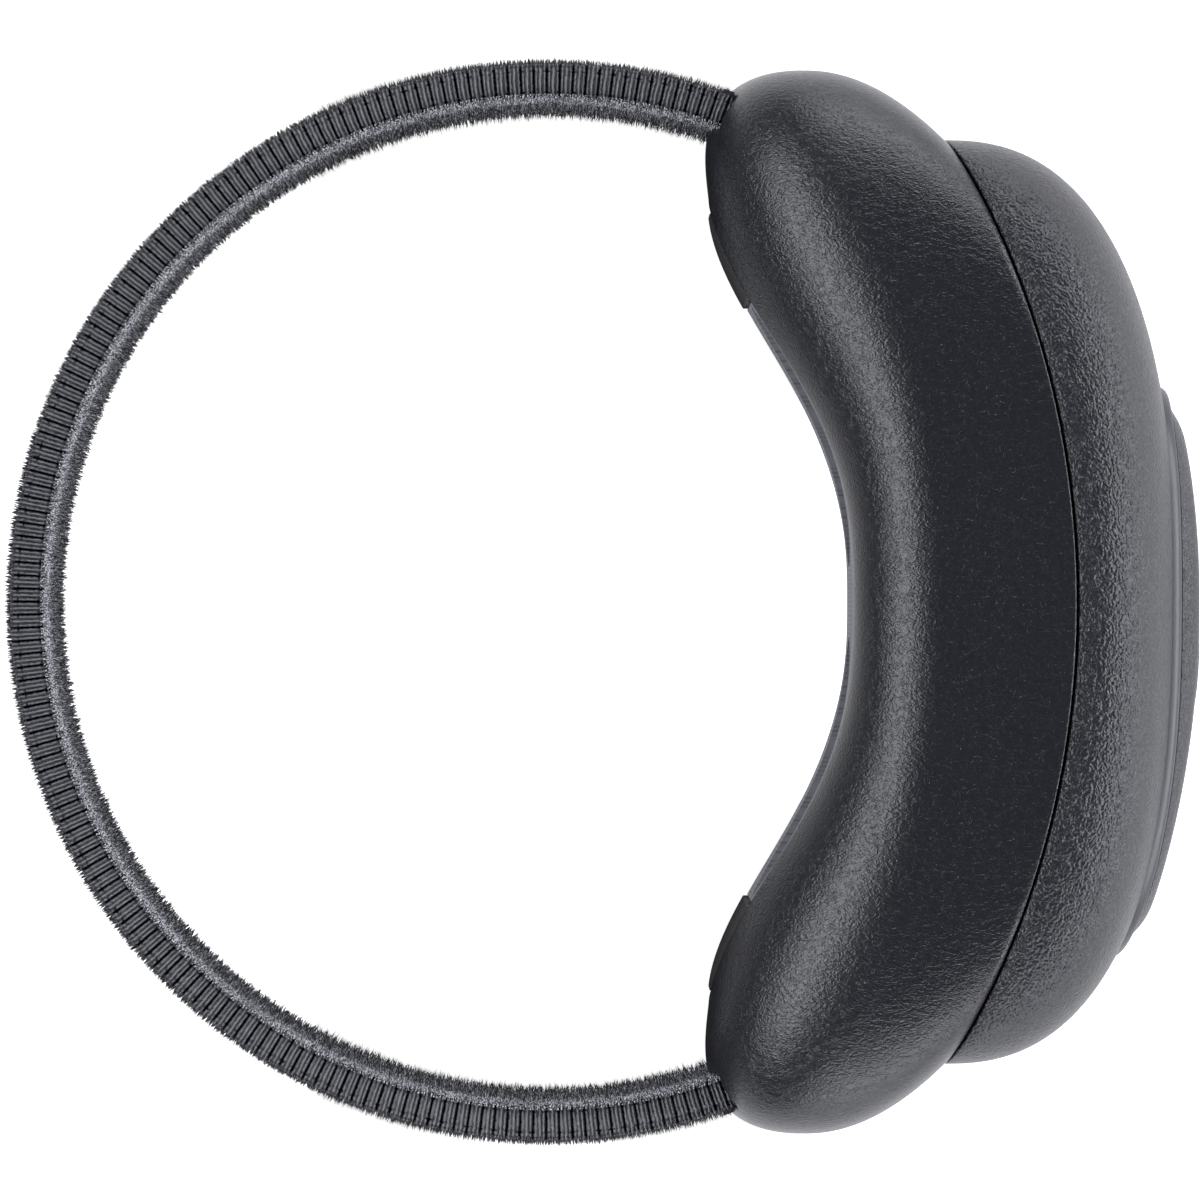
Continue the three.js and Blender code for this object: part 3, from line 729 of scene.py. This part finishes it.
def padLoops(shape, angles, profile):
    # profile: rows of (inward, forward rule), from the rear edge round to the front's middle
    loops = []
    for inward, forwardOf in profile:
        share = 1 - inward / shape["halfHigh"]
        wide = shape["halfWidth"] - inward if inward < shape["halfHigh"] * 0.6 else shape["halfWidth"] * share
        x, level = onLoop(max(wide, 0.02), max(shape["halfHigh"] - inward, 0.01), shape["roundness"], angles)
        x = x + shape["x"]
        loops.append(triples(x, forwardOf(x, level), level))
    return np.array(loops)


def buildPlate():
    angles = evenAngles(360, plate["halfWidth"], plate["halfHigh"], plate["roundness"])
    top = plate["lift"] + plate["proud"]

    def above(lift):
        return lambda x, z: shellForward(x, z) + lift

    profile = [(inward, above(-depth)) for inward, depth in plate["rear"]]
    for share in plate["rimStops"]:  # the rim slopes round from the groove to the face
        drop = (top + plate["sunk"]) * (1 - share) ** plate["rimCurve"]
        profile.append((plate["edge"] * share, above(top - drop)))
    profile += [(inward, above(top)) for inward in plate["face"]]
    inward, depth = plate["hole"]
    profile.append((inward, above(-depth)))
    loops = padLoops(plate, angles, profile)
    piece = gridObject("frontPlate", worldOf(loops), closesAlong=True)
    return finishPiece(piece, finishes["abs_moulded_satin"], "mask", ["front_plate"])


def podFace(x, level):
    return pod["forward"] - sagOf(pod["radius"], x) - pod["crown"] * (level / pod["halfHigh"]) ** 2


def podRoot(x, level):
    return shellForward(x, level) + plate["lift"] + plate["proud"] + pod["rootGap"]


def buildPod():
    angles = evenAngles(360, pod["halfWidth"], pod["halfHigh"], pod["roundness"])
    profile = [(pod["rootInward"], podRoot), (0.0, podRoot)]

    def side(share):  # slopes round from the plate to the face
        rise = 1 - (1 - share) ** pod["rimCurve"]
        return lambda x, z: podRoot(x, z) + (podFace(x, z) - podRoot(x, z)) * rise

    profile += [(pod["edge"] * share, side(share)) for share in pod["rimStops"]]
    profile += [(inward, podFace) for inward in (*pod["face"], pod["halfHigh"] - 0.02)]
    loops = padLoops(pod, angles, profile)
    piece = gridObject("controlPod", worldOf(loops), caps=True)
    cutters = [roundCutter(b["x"], b["radius"] + cap["gap"]) for b in buttons.values()]
    gap = window["gap"]
    cutters.append(pillCutter(window["x"], window["halfWidth"] + gap, window["halfHigh"] + gap))
    cutAway(piece, cutters)
    return finishPiece(piece, shellSkin, "mask", ["control_pod"])


def cutterFrom(outline):
    ends = (pod["cutFrom"], pod["cutTo"])
    loops = [toWorld(outline[:, 0], np.full(len(outline), forward), outline[:, 1]) for forward in ends]
    return gridObject("cutter", np.array(loops), caps=True)


def roundCutter(x, radius):
    turn = fullTurn(72)
    return cutterFrom(np.stack([x + radius * np.cos(turn), radius * np.sin(turn)], -1))


def pillCutter(x, halfWidth, halfHigh):
    turn = fullTurn(64)
    straight = halfWidth - halfHigh
    across = x + straight * np.sign(np.cos(turn)) + halfHigh * np.cos(turn)
    return cutterFrom(np.stack([across, halfHigh * np.sin(turn)], -1))


def cutAway(piece, cutters):
    for cutter in cutters:
        change = piece.modifiers.new("hole", "BOOLEAN")
        change.object = cutter
        change.solver = "EXACT"
        applyModifiers(piece)
        bpy.data.objects.remove(cutter)
    piece.data.set_sharp_from_angle(angle=math.radians(32))


def applyModifiers(piece):
    bpy.context.view_layer.update()
    seen = piece.evaluated_get(bpy.context.evaluated_depsgraph_get())
    mesh = bpy.data.meshes.new_from_object(seen)
    piece.modifiers.clear()
    piece.data = mesh


def turnedCap(name, x, rootForward, profile):
    # profile: rows of (radius, height above the pod's face), from the root round to the middle
    turn = fullTurn(cap["points"])
    face = podFace(np.array(x), np.array(0.0))
    slope = x / math.sqrt(pod["radius"] ** 2 - x * x)
    loops = []
    for r, height in profile:
        across = x + r * np.cos(turn)
        level = r * np.sin(turn)
        if height is None:
            forward = np.full(cap["points"], rootForward)
        else:
            forward = face + height - slope * (across - x)
        loops.append(triples(across, forward, level))
    loops = np.array(loops)
    return gridObject(name, worldOf(loops), caps=True)


def buildButtons():
    for name, b in buttons.items():
        r = b["radius"]
        rear = -boxMm(f"{name}_button")[0][1] - cap["stem"]
        profile = [(r - 0.1, None), (r, -cap["sunk"])]
        for turn in np.radians(cap["cornerTurns"]):
            inward = cap["corner"] * (1 - math.cos(turn))
            profile.append((r - inward, cap["shoulder"] + cap["corner"] * math.sin(turn)))
        for share in cap["dishStops"]:
            profile.append((r * share, cap["height"] - cap["dish"] * (1 - share)))
        for offset, height in cap["ringShape"]:
            profile.append((b["ring"] + offset, 0.02 + height))
        profile.append((0.3, 0.0))
        piece = turnedCap(f"{name}Cap", b["x"], rear, profile)
        finishPiece(piece, rubber, f"{name}_key", [f"{name}_button"])


def buildWindow():
    turn = fullTurn(64)
    straight = (window["halfWidth"] - window["halfHigh"]) * np.sign(np.cos(turn))
    loops = []
    for grow, height in window["profile"]:
        halfHigh = window["halfHigh"] + grow
        across = window["x"] + straight + halfHigh * np.cos(turn)
        level = halfHigh * np.sin(turn)
        loops.append(triples(across, podFace(across, level) + height, level))
    loops = np.array(loops)
    piece = gridObject("lightWindow", worldOf(loops), caps=True)
    return finishPiece(piece, finishes["acrylic_moulded"], "mask", ["indicator_lens"])


# --- head strap: a ribbed woven band with plush pile on both faces
strap = {
    "centreForward": -(strapHigh[1] - strapHigh[0]),
    "tips": strapHigh[0] - 0.6,  # the outer pile's middling length ends here
    "outerPile": 1.4,
    "core": 6.6,
    "halfHigh": (strapHigh[2] - strapLow[2]) / 2,
    "tuckAngle": 0.47,
    "rib": 2.56,
    "perRib": 10,
    "groove": 0.7,
    "thread": 0.16,
    "grooveWidth": 0.24,
    "besideRib": (0.6, 0.2, 0.14),  # where a low swelling lies past each groove, its width and height
}
strap["middle"] = strap["tips"] - strap["outerPile"] - strap["core"] / 2


def strapPoint(radius, angle, level):
    x = radius * np.cos(angle)
    return toWorld(x, strap["centreForward"] + radius * np.sin(angle), level)


def strapSection():
    # rows of (offset from the band's middle, level, how far the ribs stand there); the top edge first
    half = strap["core"] / 2
    high = strap["halfHigh"]
    edge = [
        (half, high - 1.4, 0.0), (half - 0.05, high - 0.9, 0.1), (half - 0.35, high - 0.55, 0.2),
        (half - 0.9, high - 0.4, 0.3), (half - 1.5, high - 0.55, 0.2), (half - 1.75, high - 0.35, 0.7),
        (half - 1.95, high - 0.08, 1.0), (half - 2.9, high, 1.0), (half - 3.8, high, 1.0),
        (-half + 1.35, high - 0.08, 1.0), (-half + 1.15, high - 0.4, 0.7), (-half + 0.95, high - 0.6, 0.2),
        (-half + 0.45, high - 0.5, 0.2), (-half + 0.1, high - 0.9, 0.1), (-half, high - 1.5, 0.0),
    ]
    across = [(-half, level * high, 0.0) for level in (0.6, 0.2, -0.2, -0.6)]
    lower = [(offset, -level, rib) for offset, level, rib in reversed(edge)]
    back = [(half, level * high, 0.0) for level in (-0.6, -0.2, 0.2, 0.6)]
    return np.array(edge + across + lower + back)


def buildStrapCore():
    section = strapSection()
    length = (math.pi + 2 * strap["tuckAngle"]) * strap["middle"]
    stations = int(length / strap["rib"]) * strap["perRib"]
    run = np.linspace(0, length, stations)
    angle = strap["tuckAngle"] - run / strap["middle"]
    within = run % strap["rib"]
    fromGroove = np.minimum(within, strap["rib"] - within)
    groove = np.exp(-((fromGroove / strap["grooveWidth"]) ** 2))
    place, width, swelling = strap["besideRib"]
    besides = np.exp(-(((within - place) / width) ** 2))
    threads = strap["thread"] * (np.arange(stations) % 2)
    sunk = strap["groove"] * groove - swelling * besides + threads
    level = section[None, :, 1] - np.sign(section[None, :, 1]) * section[None, :, 2] * sunk[:, None]
    points = strapPoint(strap["middle"] + section[None, :, 0], angle[:, None], level)
    across = strap["core"] / 2 - section[:, 0]
    piece = gridObject("strapBand", points, caps=True, uv=(run * mm, across * mm))
    return finishPiece(piece, ribbedWeave, "strap", ["head_strap"])


def tufts(random, foot, out, side, up, look):
    # three-sided tufts: foot, out, side and up are (n, 3) arrays, in metres
    count = len(foot)
    length = (look["length"] * (1 + look["uneven"] * random.uniform(-1, 1, count)) * mm)[:, None]
    lean = random.normal(0, look["lean"], (count, 2))
    along = out + side * lean[:, :1] + up * (lean[:, 1:] + look["rise"])
    along /= np.linalg.norm(along, axis=1)[:, None]
    turn = random.uniform(0, 2 * math.pi, count)
    width = look["width"] / 2 * mm
    rooted = foot - out * pile["rooted"] * mm
    corners = []
    for k in range(3):
        a = turn + k * 2 * math.pi / 3
        corners.append(rooted + width * (np.cos(a)[:, None] * side + np.sin(a)[:, None] * up))
    tip = foot + along * length
    points = np.stack([*corners, tip], axis=1).reshape(-1, 3)
    first = np.arange(count)[:, None] * 4
    sides = np.concatenate([first + [0, 1, 3], first + [1, 2, 3], first + [2, 0, 3]], axis=1).reshape(-1, 3)
    return points, sides


def buildPile(name, face, look, material, seed):
    random = np.random.default_rng(seed)
    radius = strap["middle"] + face * strap["core"] / 2
    end = look["end"]
    columns = int((math.pi + 2 * end) * radius / look["column"])
    lowest, highest = pile["margins"]
    levels = np.arange(-strap["halfHigh"] + lowest, strap["halfHigh"] - highest, look["row"])
    rows = [(level, 0.0, 0.0) for level in levels]
    below, inset, rise = pile["edgeRow"]  # one more row leans out round each edge
    edgeLevel = strap["halfHigh"] - below
    rows += [(edgeLevel, inset, rise), (-edgeLevel, inset, -rise)]
    points = []
    sides = []
    for i, (level, inset, rise) in enumerate(rows):
        strayed = random.uniform(-pile["stray"], pile["stray"], columns)
        step = (np.arange(columns) + 0.5 * (i % 2) + strayed) / columns
        angle = end - step * (math.pi + 2 * end)
        strayedUp = random.uniform(-pile["strayUp"], pile["strayUp"], columns)
        high = level + strayedUp * look["row"] * (inset == 0)
        foot = strapPoint(radius + face * inset, angle, high)
        out = face * triples(np.cos(angle), -np.sin(angle), np.zeros(columns))
        side = triples(-np.sin(angle), -np.cos(angle), np.zeros(columns))
        up = np.tile([0.0, 0.0, 1.0], (columns, 1))
        rowPoints, rowSides = tufts(random, foot, out, side, up, {**look, "rise": rise})
        sides.append(rowSides + sum(len(p) for p in points))
        points.append(rowPoints)
    mesh = bpy.data.meshes.new(name)
    mesh.from_pydata(np.concatenate(points).tolist(), [], np.concatenate(sides).tolist())
    piece = meshObject(name, mesh)
    return finishPiece(piece, material, "strap", ["head_strap"])


pile = {
    "rooted": 0.15,
    "stray": 0.22,  # of the gap between tufts
    "strayUp": 0.3,  # of the gap between rows
    "margins": (0.7, 0.5),  # bare band left below the lowest row and above the highest one
    "edgeRow": (0.55, -0.5, 0.8),  # below the edge, in from the face, and how steeply it rises
    "outer": {
        "length": 1.5, "uneven": 0.2, "lean": 0.15, "width": 0.4, "column": 0.68, "row": 1.2, "end": 0.45,
    },
    "inner": {
        "length": 2.0, "uneven": 0.3, "lean": 0.3, "width": 0.42, "column": 0.6, "row": 1.15, "end": 0.36,
    },
}
ribbedWeave = ribbedWeaveMaterial({
    # a near-black band whose thread tops get a painted highlight in the light tone
    "dark": "060607", "light": "6c6d72", "thread": strap["rib"] / 3, "depth": 0.2, "wander": 3.0,
    "rib": strap["rib"], "seams": (1.5, 5.65), "stitch": 0.5, "ragged": 0.7, "crease": (0.42, 0.85),
    # painted shade in the grooves
    "creaseShadeColour": "010101",
})
outerFace = strap["middle"] + strap["core"] / 2
innerFace = strap["middle"] - strap["core"] / 2
# painted shade: the piles' tip colours are darker than their roots
pileDark = pileMaterial("polyester_plush_dark", {
    "dark": "020203", "light": "1c1d20", "tip": "010102", "roughness": 0.4,
    "fibre": 0.5, "from": 0.46, "to": 0.66, "sheen": 0.1,
    "rootRadius": outerFace + 0.3, "tipRadius": outerFace + 1.2,
})
# painted highlight: the inner pile's light fibres stand in for fibres catching the light
pileGlinted = pileMaterial("polyester_plush_painted_glints", {
    "dark": "050506", "light": "d0d2d7", "tip": "020203", "roughness": 0.36,
    "fibre": 0.34, "from": 0.45, "to": 0.6, "sheen": 0.12,
    "rootRadius": innerFace - 0.9, "tipRadius": innerFace - 1.35,
})


# --- face side: lining, temple pads and eye pads
lining = {
    "rear": 0.4,
    "thickness": 2.4,
    "halfWidth": 59.4,
    "clearance": 1.2,
    "lift": 0.4,  # at the lower edge
    "edge": 0.5,
    "rows": 31,
}
temple = {"inner": 59.7, "outer": 77.2, "proud": 0.7}
eye = {
    "x": 33.0,
    "level": 2.0,
    "halfWidth": 26.0,
    "halfHigh": 16.5,
    "dish": 3.5,
    "flange": 1.1,
    "thickness": 1.6,
    "seatGap": 0.3,
    # shares of the outline and the lift of a sealing bead that runs round near the edge
    "bead": ((0.87, -0.1), (0.9, -0.28), (0.93, -0.28), (0.96, -0.08), (1.0, 0.0)),
}


def facePanel(name, fromX, toX, stations, proud=0.0):
    # a curved panel of even thickness with rounded long edges, between two places across the face
    x = np.linspace(fromX, toX, stations)
    share = np.minimum(np.abs(x) / (form["faceHalfWidth"] - lining["clearance"]), 0.999)
    top = (form["faceHalfHeight"] - lining["clearance"]) * (1 - share ** form["faceRoundness"]) ** (
        1 / form["faceRoundness"]
    )
    rear = faceLine(x) + lining["rear"] - proud
    bottom = archedLevel(x, rear, -top) + lining["lift"]
    thickness = lining["thickness"] + proud
    edge = lining["edge"]
    loops = []
    front = rear + thickness
    down = np.linspace(0, 1, lining["rows"])
    loops += [triples(x, rear, top - edge + (bottom - top + 2 * edge) * t) for t in down]
    loops.append(triples(x, rear + 0.3 * edge, bottom + 0.3 * edge))
    loops.append(triples(x, rear + edge, bottom))
    loops.append(triples(x, front, bottom))
    loops += [triples(x, front, bottom + (top - bottom) * (0.01 + 0.98 * t)) for t in down]
    loops.append(triples(x, front, top))
    loops.append(triples(x, rear + edge, top))
    loops.append(triples(x, rear + 0.3 * edge, top - 0.3 * edge))
    rows = np.array(loops).transpose(1, 0, 2)
    return gridObject(name, worldOf(rows), caps=True)


def buildLining():
    panel = facePanel("liningPanel", -lining["halfWidth"], lining["halfWidth"], 150)
    turn = fullTurn(96)
    holes = []
    for side in (-1, 1):
        across = side * eye["x"] + eye["halfWidth"] * np.cos(turn)
        level = eye["level"] + eye["halfHigh"] * np.sin(turn)
        ends = [toWorld(across, np.full(96, forward), level) for forward in (20.0, 80.0)]
        holes.append(gridObject("cutter", np.array(ends), caps=True))
    cutAway(panel, holes)
    finishPiece(panel, liningCloth, "mask", ["face_lining"])


def buildTemplePads():
    for name, side in (("left", 1), ("right", -1)):
        pad = facePanel(f"templePad{name.title()}", side * temple["inner"], side * temple["outer"], 40,
                        temple["proud"])
        finishPiece(pad, rubber, "mask", [f"temple_pad_{name}"])


def buildEyePads():
    turn = fullTurn(160)
    for name, side in (("left", 1), ("right", -1)):
        low, high = boxMm(f"eye_pad_{name}")
        centreX = (low[0] + high[0]) / 2
        seat = lining["rear"] + lining["thickness"] + eye["seatGap"]
        loops = []

        def ring(share, lift):
            across = centreX + eye["halfWidth"] * share * np.cos(turn)
            level = eye["level"] + eye["halfHigh"] * share * np.sin(turn)
            hollow = eye["dish"] * max(1 - share * share, 0)
            loops.append(triples(across, faceLine(across) + seat + hollow + lift, level))

        for share in np.linspace(0.02, 0.84, 20):
            ring(share, 0.0)
        for share, lift in eye["bead"]:
            ring(share, lift)
        ring(eye["flange"] - 0.02, 0.0)
        ring(eye["flange"], 0.3)
        ring(eye["flange"], eye["thickness"])
        for share in np.linspace(1.0, 0.02, 12):
            ring(share, eye["thickness"])
        points = np.array(loops)
        pad = gridObject(f"eyePad{name.title()}", worldOf(points), caps=True)
        finishPiece(pad, rubber, "mask", [f"eye_pad_{name}"])


# --- pieces whose CAD shape is right: each gets its real material
keptNodes = {
    "abs_moulded_satin": [
        "mid_frame", "pad_tray_left", "pad_tray_right", "strap_clip_left", "strap_clip_right",
    ],
    "steel_tumbled": [
        "frame_screw_1", "frame_screw_2", "frame_screw_3", "frame_screw_4", "anchor_pin_left",
        "anchor_pin_right", "vibration_motor_left", "vibration_motor_right", "pump_motor", "usb_socket",
    ],
    "brass_sintered": ["motor_weight_left", "motor_weight_right"],
    "abs_natural": ["air_pump", "air_valve", "air_manifold", "power_switch", "mode_switch"],
    "tpu_film_welded": [
        "air_bladder_left", "air_bladder_right", "air_tube_left", "air_tube_right", "battery",
    ],
    "polyimide_film": ["heating_film_left", "heating_film_right"],
}


def finishKeptNodes():
    for finish, names in keptNodes.items():
        for name in names:
            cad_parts[name].material_slots[0].material = finishes[finish]
    for name in ("button_board", "main_board"):
        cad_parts[name].material_slots[0].material = solderMask


# --- camera, floor and light
studio = {
    "cameraAbove": 1300.0,  # above the cushion's top
    "lens": 201.75,
    "sensor": 36,
    "centre": (0.4, -0.5),  # x, forward
    "floorHalf": 4000.0,
    "floorLevel": -0.2,
    "glow": 1.0,
    "glowReach": (0.22, 0.45),  # metres: full glow inside the first, faint beyond the second
    "farGlow": 0.06,
    "spill": 0.55,  # how much of the glow lights the object
    # brightness of the room from the horizon up to straight overhead
    "room": [(0.0, 0.05), (0.25, 0.04), (0.5, 0.08), (0.8, 0.16), (0.95, 0.21), (1.0, 0.21)],
    # name: direction (x, forward, up), width, height, radiance
    "boxes": {
        "rear": ((0.0, -1.0, 1.0), 1.5, 0.45, 9.5),
        "front": ((0.0, 1.0, 0.26), 2.4, 0.4, 11.0),
        "left": ((1.0, 0.25, 0.34), 1.0, 0.75, 5.5),
        "right": ((-1.0, 0.25, 0.34), 1.0, 0.75, 5.5),
    },
    "aim": (0, -0.06, 0.05),  # metres, the place that the boxes face
    "boxDistance": 1.3,
    "boxColour": (0.93, 0.94, 1.0),
    "roomTint": (0.9, 0.93, 1.05),
    "cardLevel": 1.0,
    # dark cards on the floor behind each temple: x, forward, width, depth
    "cards": ((74.0, -10.0, 76.0, 100.0), (-74.0, -10.0, 76.0, 100.0)),
}


def buildCamera():
    data = bpy.data.cameras.new("camera")
    camera = bpy.data.objects.new("camera", data)
    bpy.context.scene.collection.objects.link(camera)
    height = cushionTop + studio["cameraAbove"]
    camera.location = (studio["centre"][0] * mm, -studio["centre"][1] * mm, height * mm)
    camera.rotation_euler = (0, 0, -math.pi / 2)
    data.lens = studio["lens"]
    data.sensor_width = studio["sensor"]
    bpy.context.scene.camera = camera


def flatSheet(name, middle, halfWidth, halfDepth, level):  # level is above the ground here
    corners = [
        (middle[0] + across * halfWidth, middle[1] + away * halfDepth)
        for across, away in ((-1, 1), (1, 1), (1, -1), (-1, -1))
    ]
    mesh = bpy.data.meshes.new(name)
    mesh.from_pydata([toWorld(x, forward, level - midHeight) for x, forward in corners], [], [(0, 1, 2, 3)])
    sheet = bpy.data.objects.new(name, mesh)
    bpy.context.scene.collection.objects.link(sheet)
    return sheet


def buildFloor():  # a pale sheet that glows: all of it as seen, and only its middle as a light
    floor = flatSheet("floor", (0, 0), studio["floorHalf"], studio["floorHalf"], studio["floorLevel"])
    paper = bpy.data.materials.new("paper_backdrop_lit")
    paper.use_nodes = True
    tree = paper.node_tree
    tree.nodes.clear()
    place = addNode(tree, "TexCoord").outputs["Object"]
    away = addNode(tree, "VectorMath", {"operation": "LENGTH"}, {0: place}).outputs["Value"]
    near, far = studio["glowReach"]
    strength = addNode(
        tree, "MapRange",
        {"interpolation_type": "SMOOTHSTEP", "From Min": near, "From Max": far, "To Min": studio["glow"],
         "To Max": studio["farGlow"]},
        {"Value": away},
    ).outputs[0]
    spill = compute(tree, "MULTIPLY", strength, studio["spill"])
    seen = addNode(tree, "LightPath").outputs["Is Camera Ray"]
    power = addNode(tree, "MapRange", {"To Max": studio["glow"]}, {"Value": seen, "To Min": spill}).outputs[0]
    glow = addNode(tree, "Emission", {"Color": linear("ffffff")}, {"Strength": power})
    matt = addNode(tree, "BsdfDiffuse", {"Color": linear("dcdcdc")})
    both = addNode(tree, "AddShader", links={0: glow.outputs[0], 1: matt.outputs[0]})
    addNode(tree, "OutputMaterial", links={"Surface": both.outputs[0]})
    floor.data.materials.append(paper)


def buildCards():  # they keep the pale floor out of the temples' rear edges and aren't seen themselves
    look = {"dark": "050505", "light": "070707", "roughness": 0.9, "texture": 1.0, "depth": 0.01}
    black = mouldedMaterial("black_card", look)
    for i, (x, forward, width, depth) in enumerate(studio["cards"]):
        card = flatSheet(f"card{i + 1}", (x, forward), width / 2, depth / 2, studio["cardLevel"])
        card.data.materials.append(black)
        card.visible_camera = False


def buildRoom():
    world = bpy.data.worlds.new("studio")
    bpy.context.scene.world = world
    world.use_nodes = True
    tree = world.node_tree
    tree.nodes.clear()
    direction = addNode(tree, "TexCoord").outputs["Generated"]
    height = addNode(tree, "SeparateXYZ", links={0: direction}).outputs["Z"]
    ramp = addNode(tree, "ValToRGB", links={"Fac": height})
    elements = ramp.color_ramp.elements
    stops = studio["room"]
    elements[0].position = stops[0][0]
    elements[1].position = stops[-1][0]
    for place, _ in stops[1:-1]:
        elements.new(place)
    for element, (_, value) in zip(elements, stops):
        element.color = (*[value * tint for tint in studio["roomTint"]], 1)
    seen = addNode(tree, "LightPath").outputs["Is Camera Ray"]
    plain = addNode(tree, "Background", {"Color": (1, 1, 1, 1), "Strength": 1.0})
    lit = addNode(tree, "Background", {"Strength": 1.0}, {"Color": ramp.outputs[0]})
    mixed = addNode(tree, "MixShader", links={0: seen, 1: lit.outputs[0], 2: plain.outputs[0]})
    addNode(tree, "OutputWorld", links={"Surface": mixed.outputs[0]})


def buildBoxes():  # soft boxes round the object; their power follows from how bright their face looks
    aim = Vector(studio["aim"])
    for name, ((x, forward, up), width, high, radiance) in studio["boxes"].items():
        data = bpy.data.lights.new(name + "Box", "AREA")
        data.shape = "RECTANGLE"
        data.size = width
        data.size_y = high
        data.color = studio["boxColour"]
        data.energy = radiance * math.pi * width * high
        box = bpy.data.objects.new(name + "Box", data)
        bpy.context.scene.collection.objects.link(box)
        outward = Vector((x, -forward, up)).normalized()
        box.location = aim + outward * studio["boxDistance"]
        box.rotation_euler = outward.to_track_quat("Z", "Y").to_euler()
        box.visible_camera = False


# --- build everything
buildCushion()
print("cushion made")
buildShell()
buildPlate()
buildPod()
buildButtons()
buildWindow()
print("shell, plate, pod and buttons made")
buildStrapCore()
buildPile("pileOuter", 1, pile["outer"], pileDark, 11)
buildPile("pileInner", -1, pile["inner"], pileGlinted, 12)
print("strap made")
buildLining()
buildTemplePads()
buildEyePads()
print("lining and pads made")
finishKeptNodes()
buildCamera()
buildFloor()
buildCards()
buildRoom()
buildBoxes()
print("studio made")
bpy.context.scene.view_settings.view_transform = "Standard"
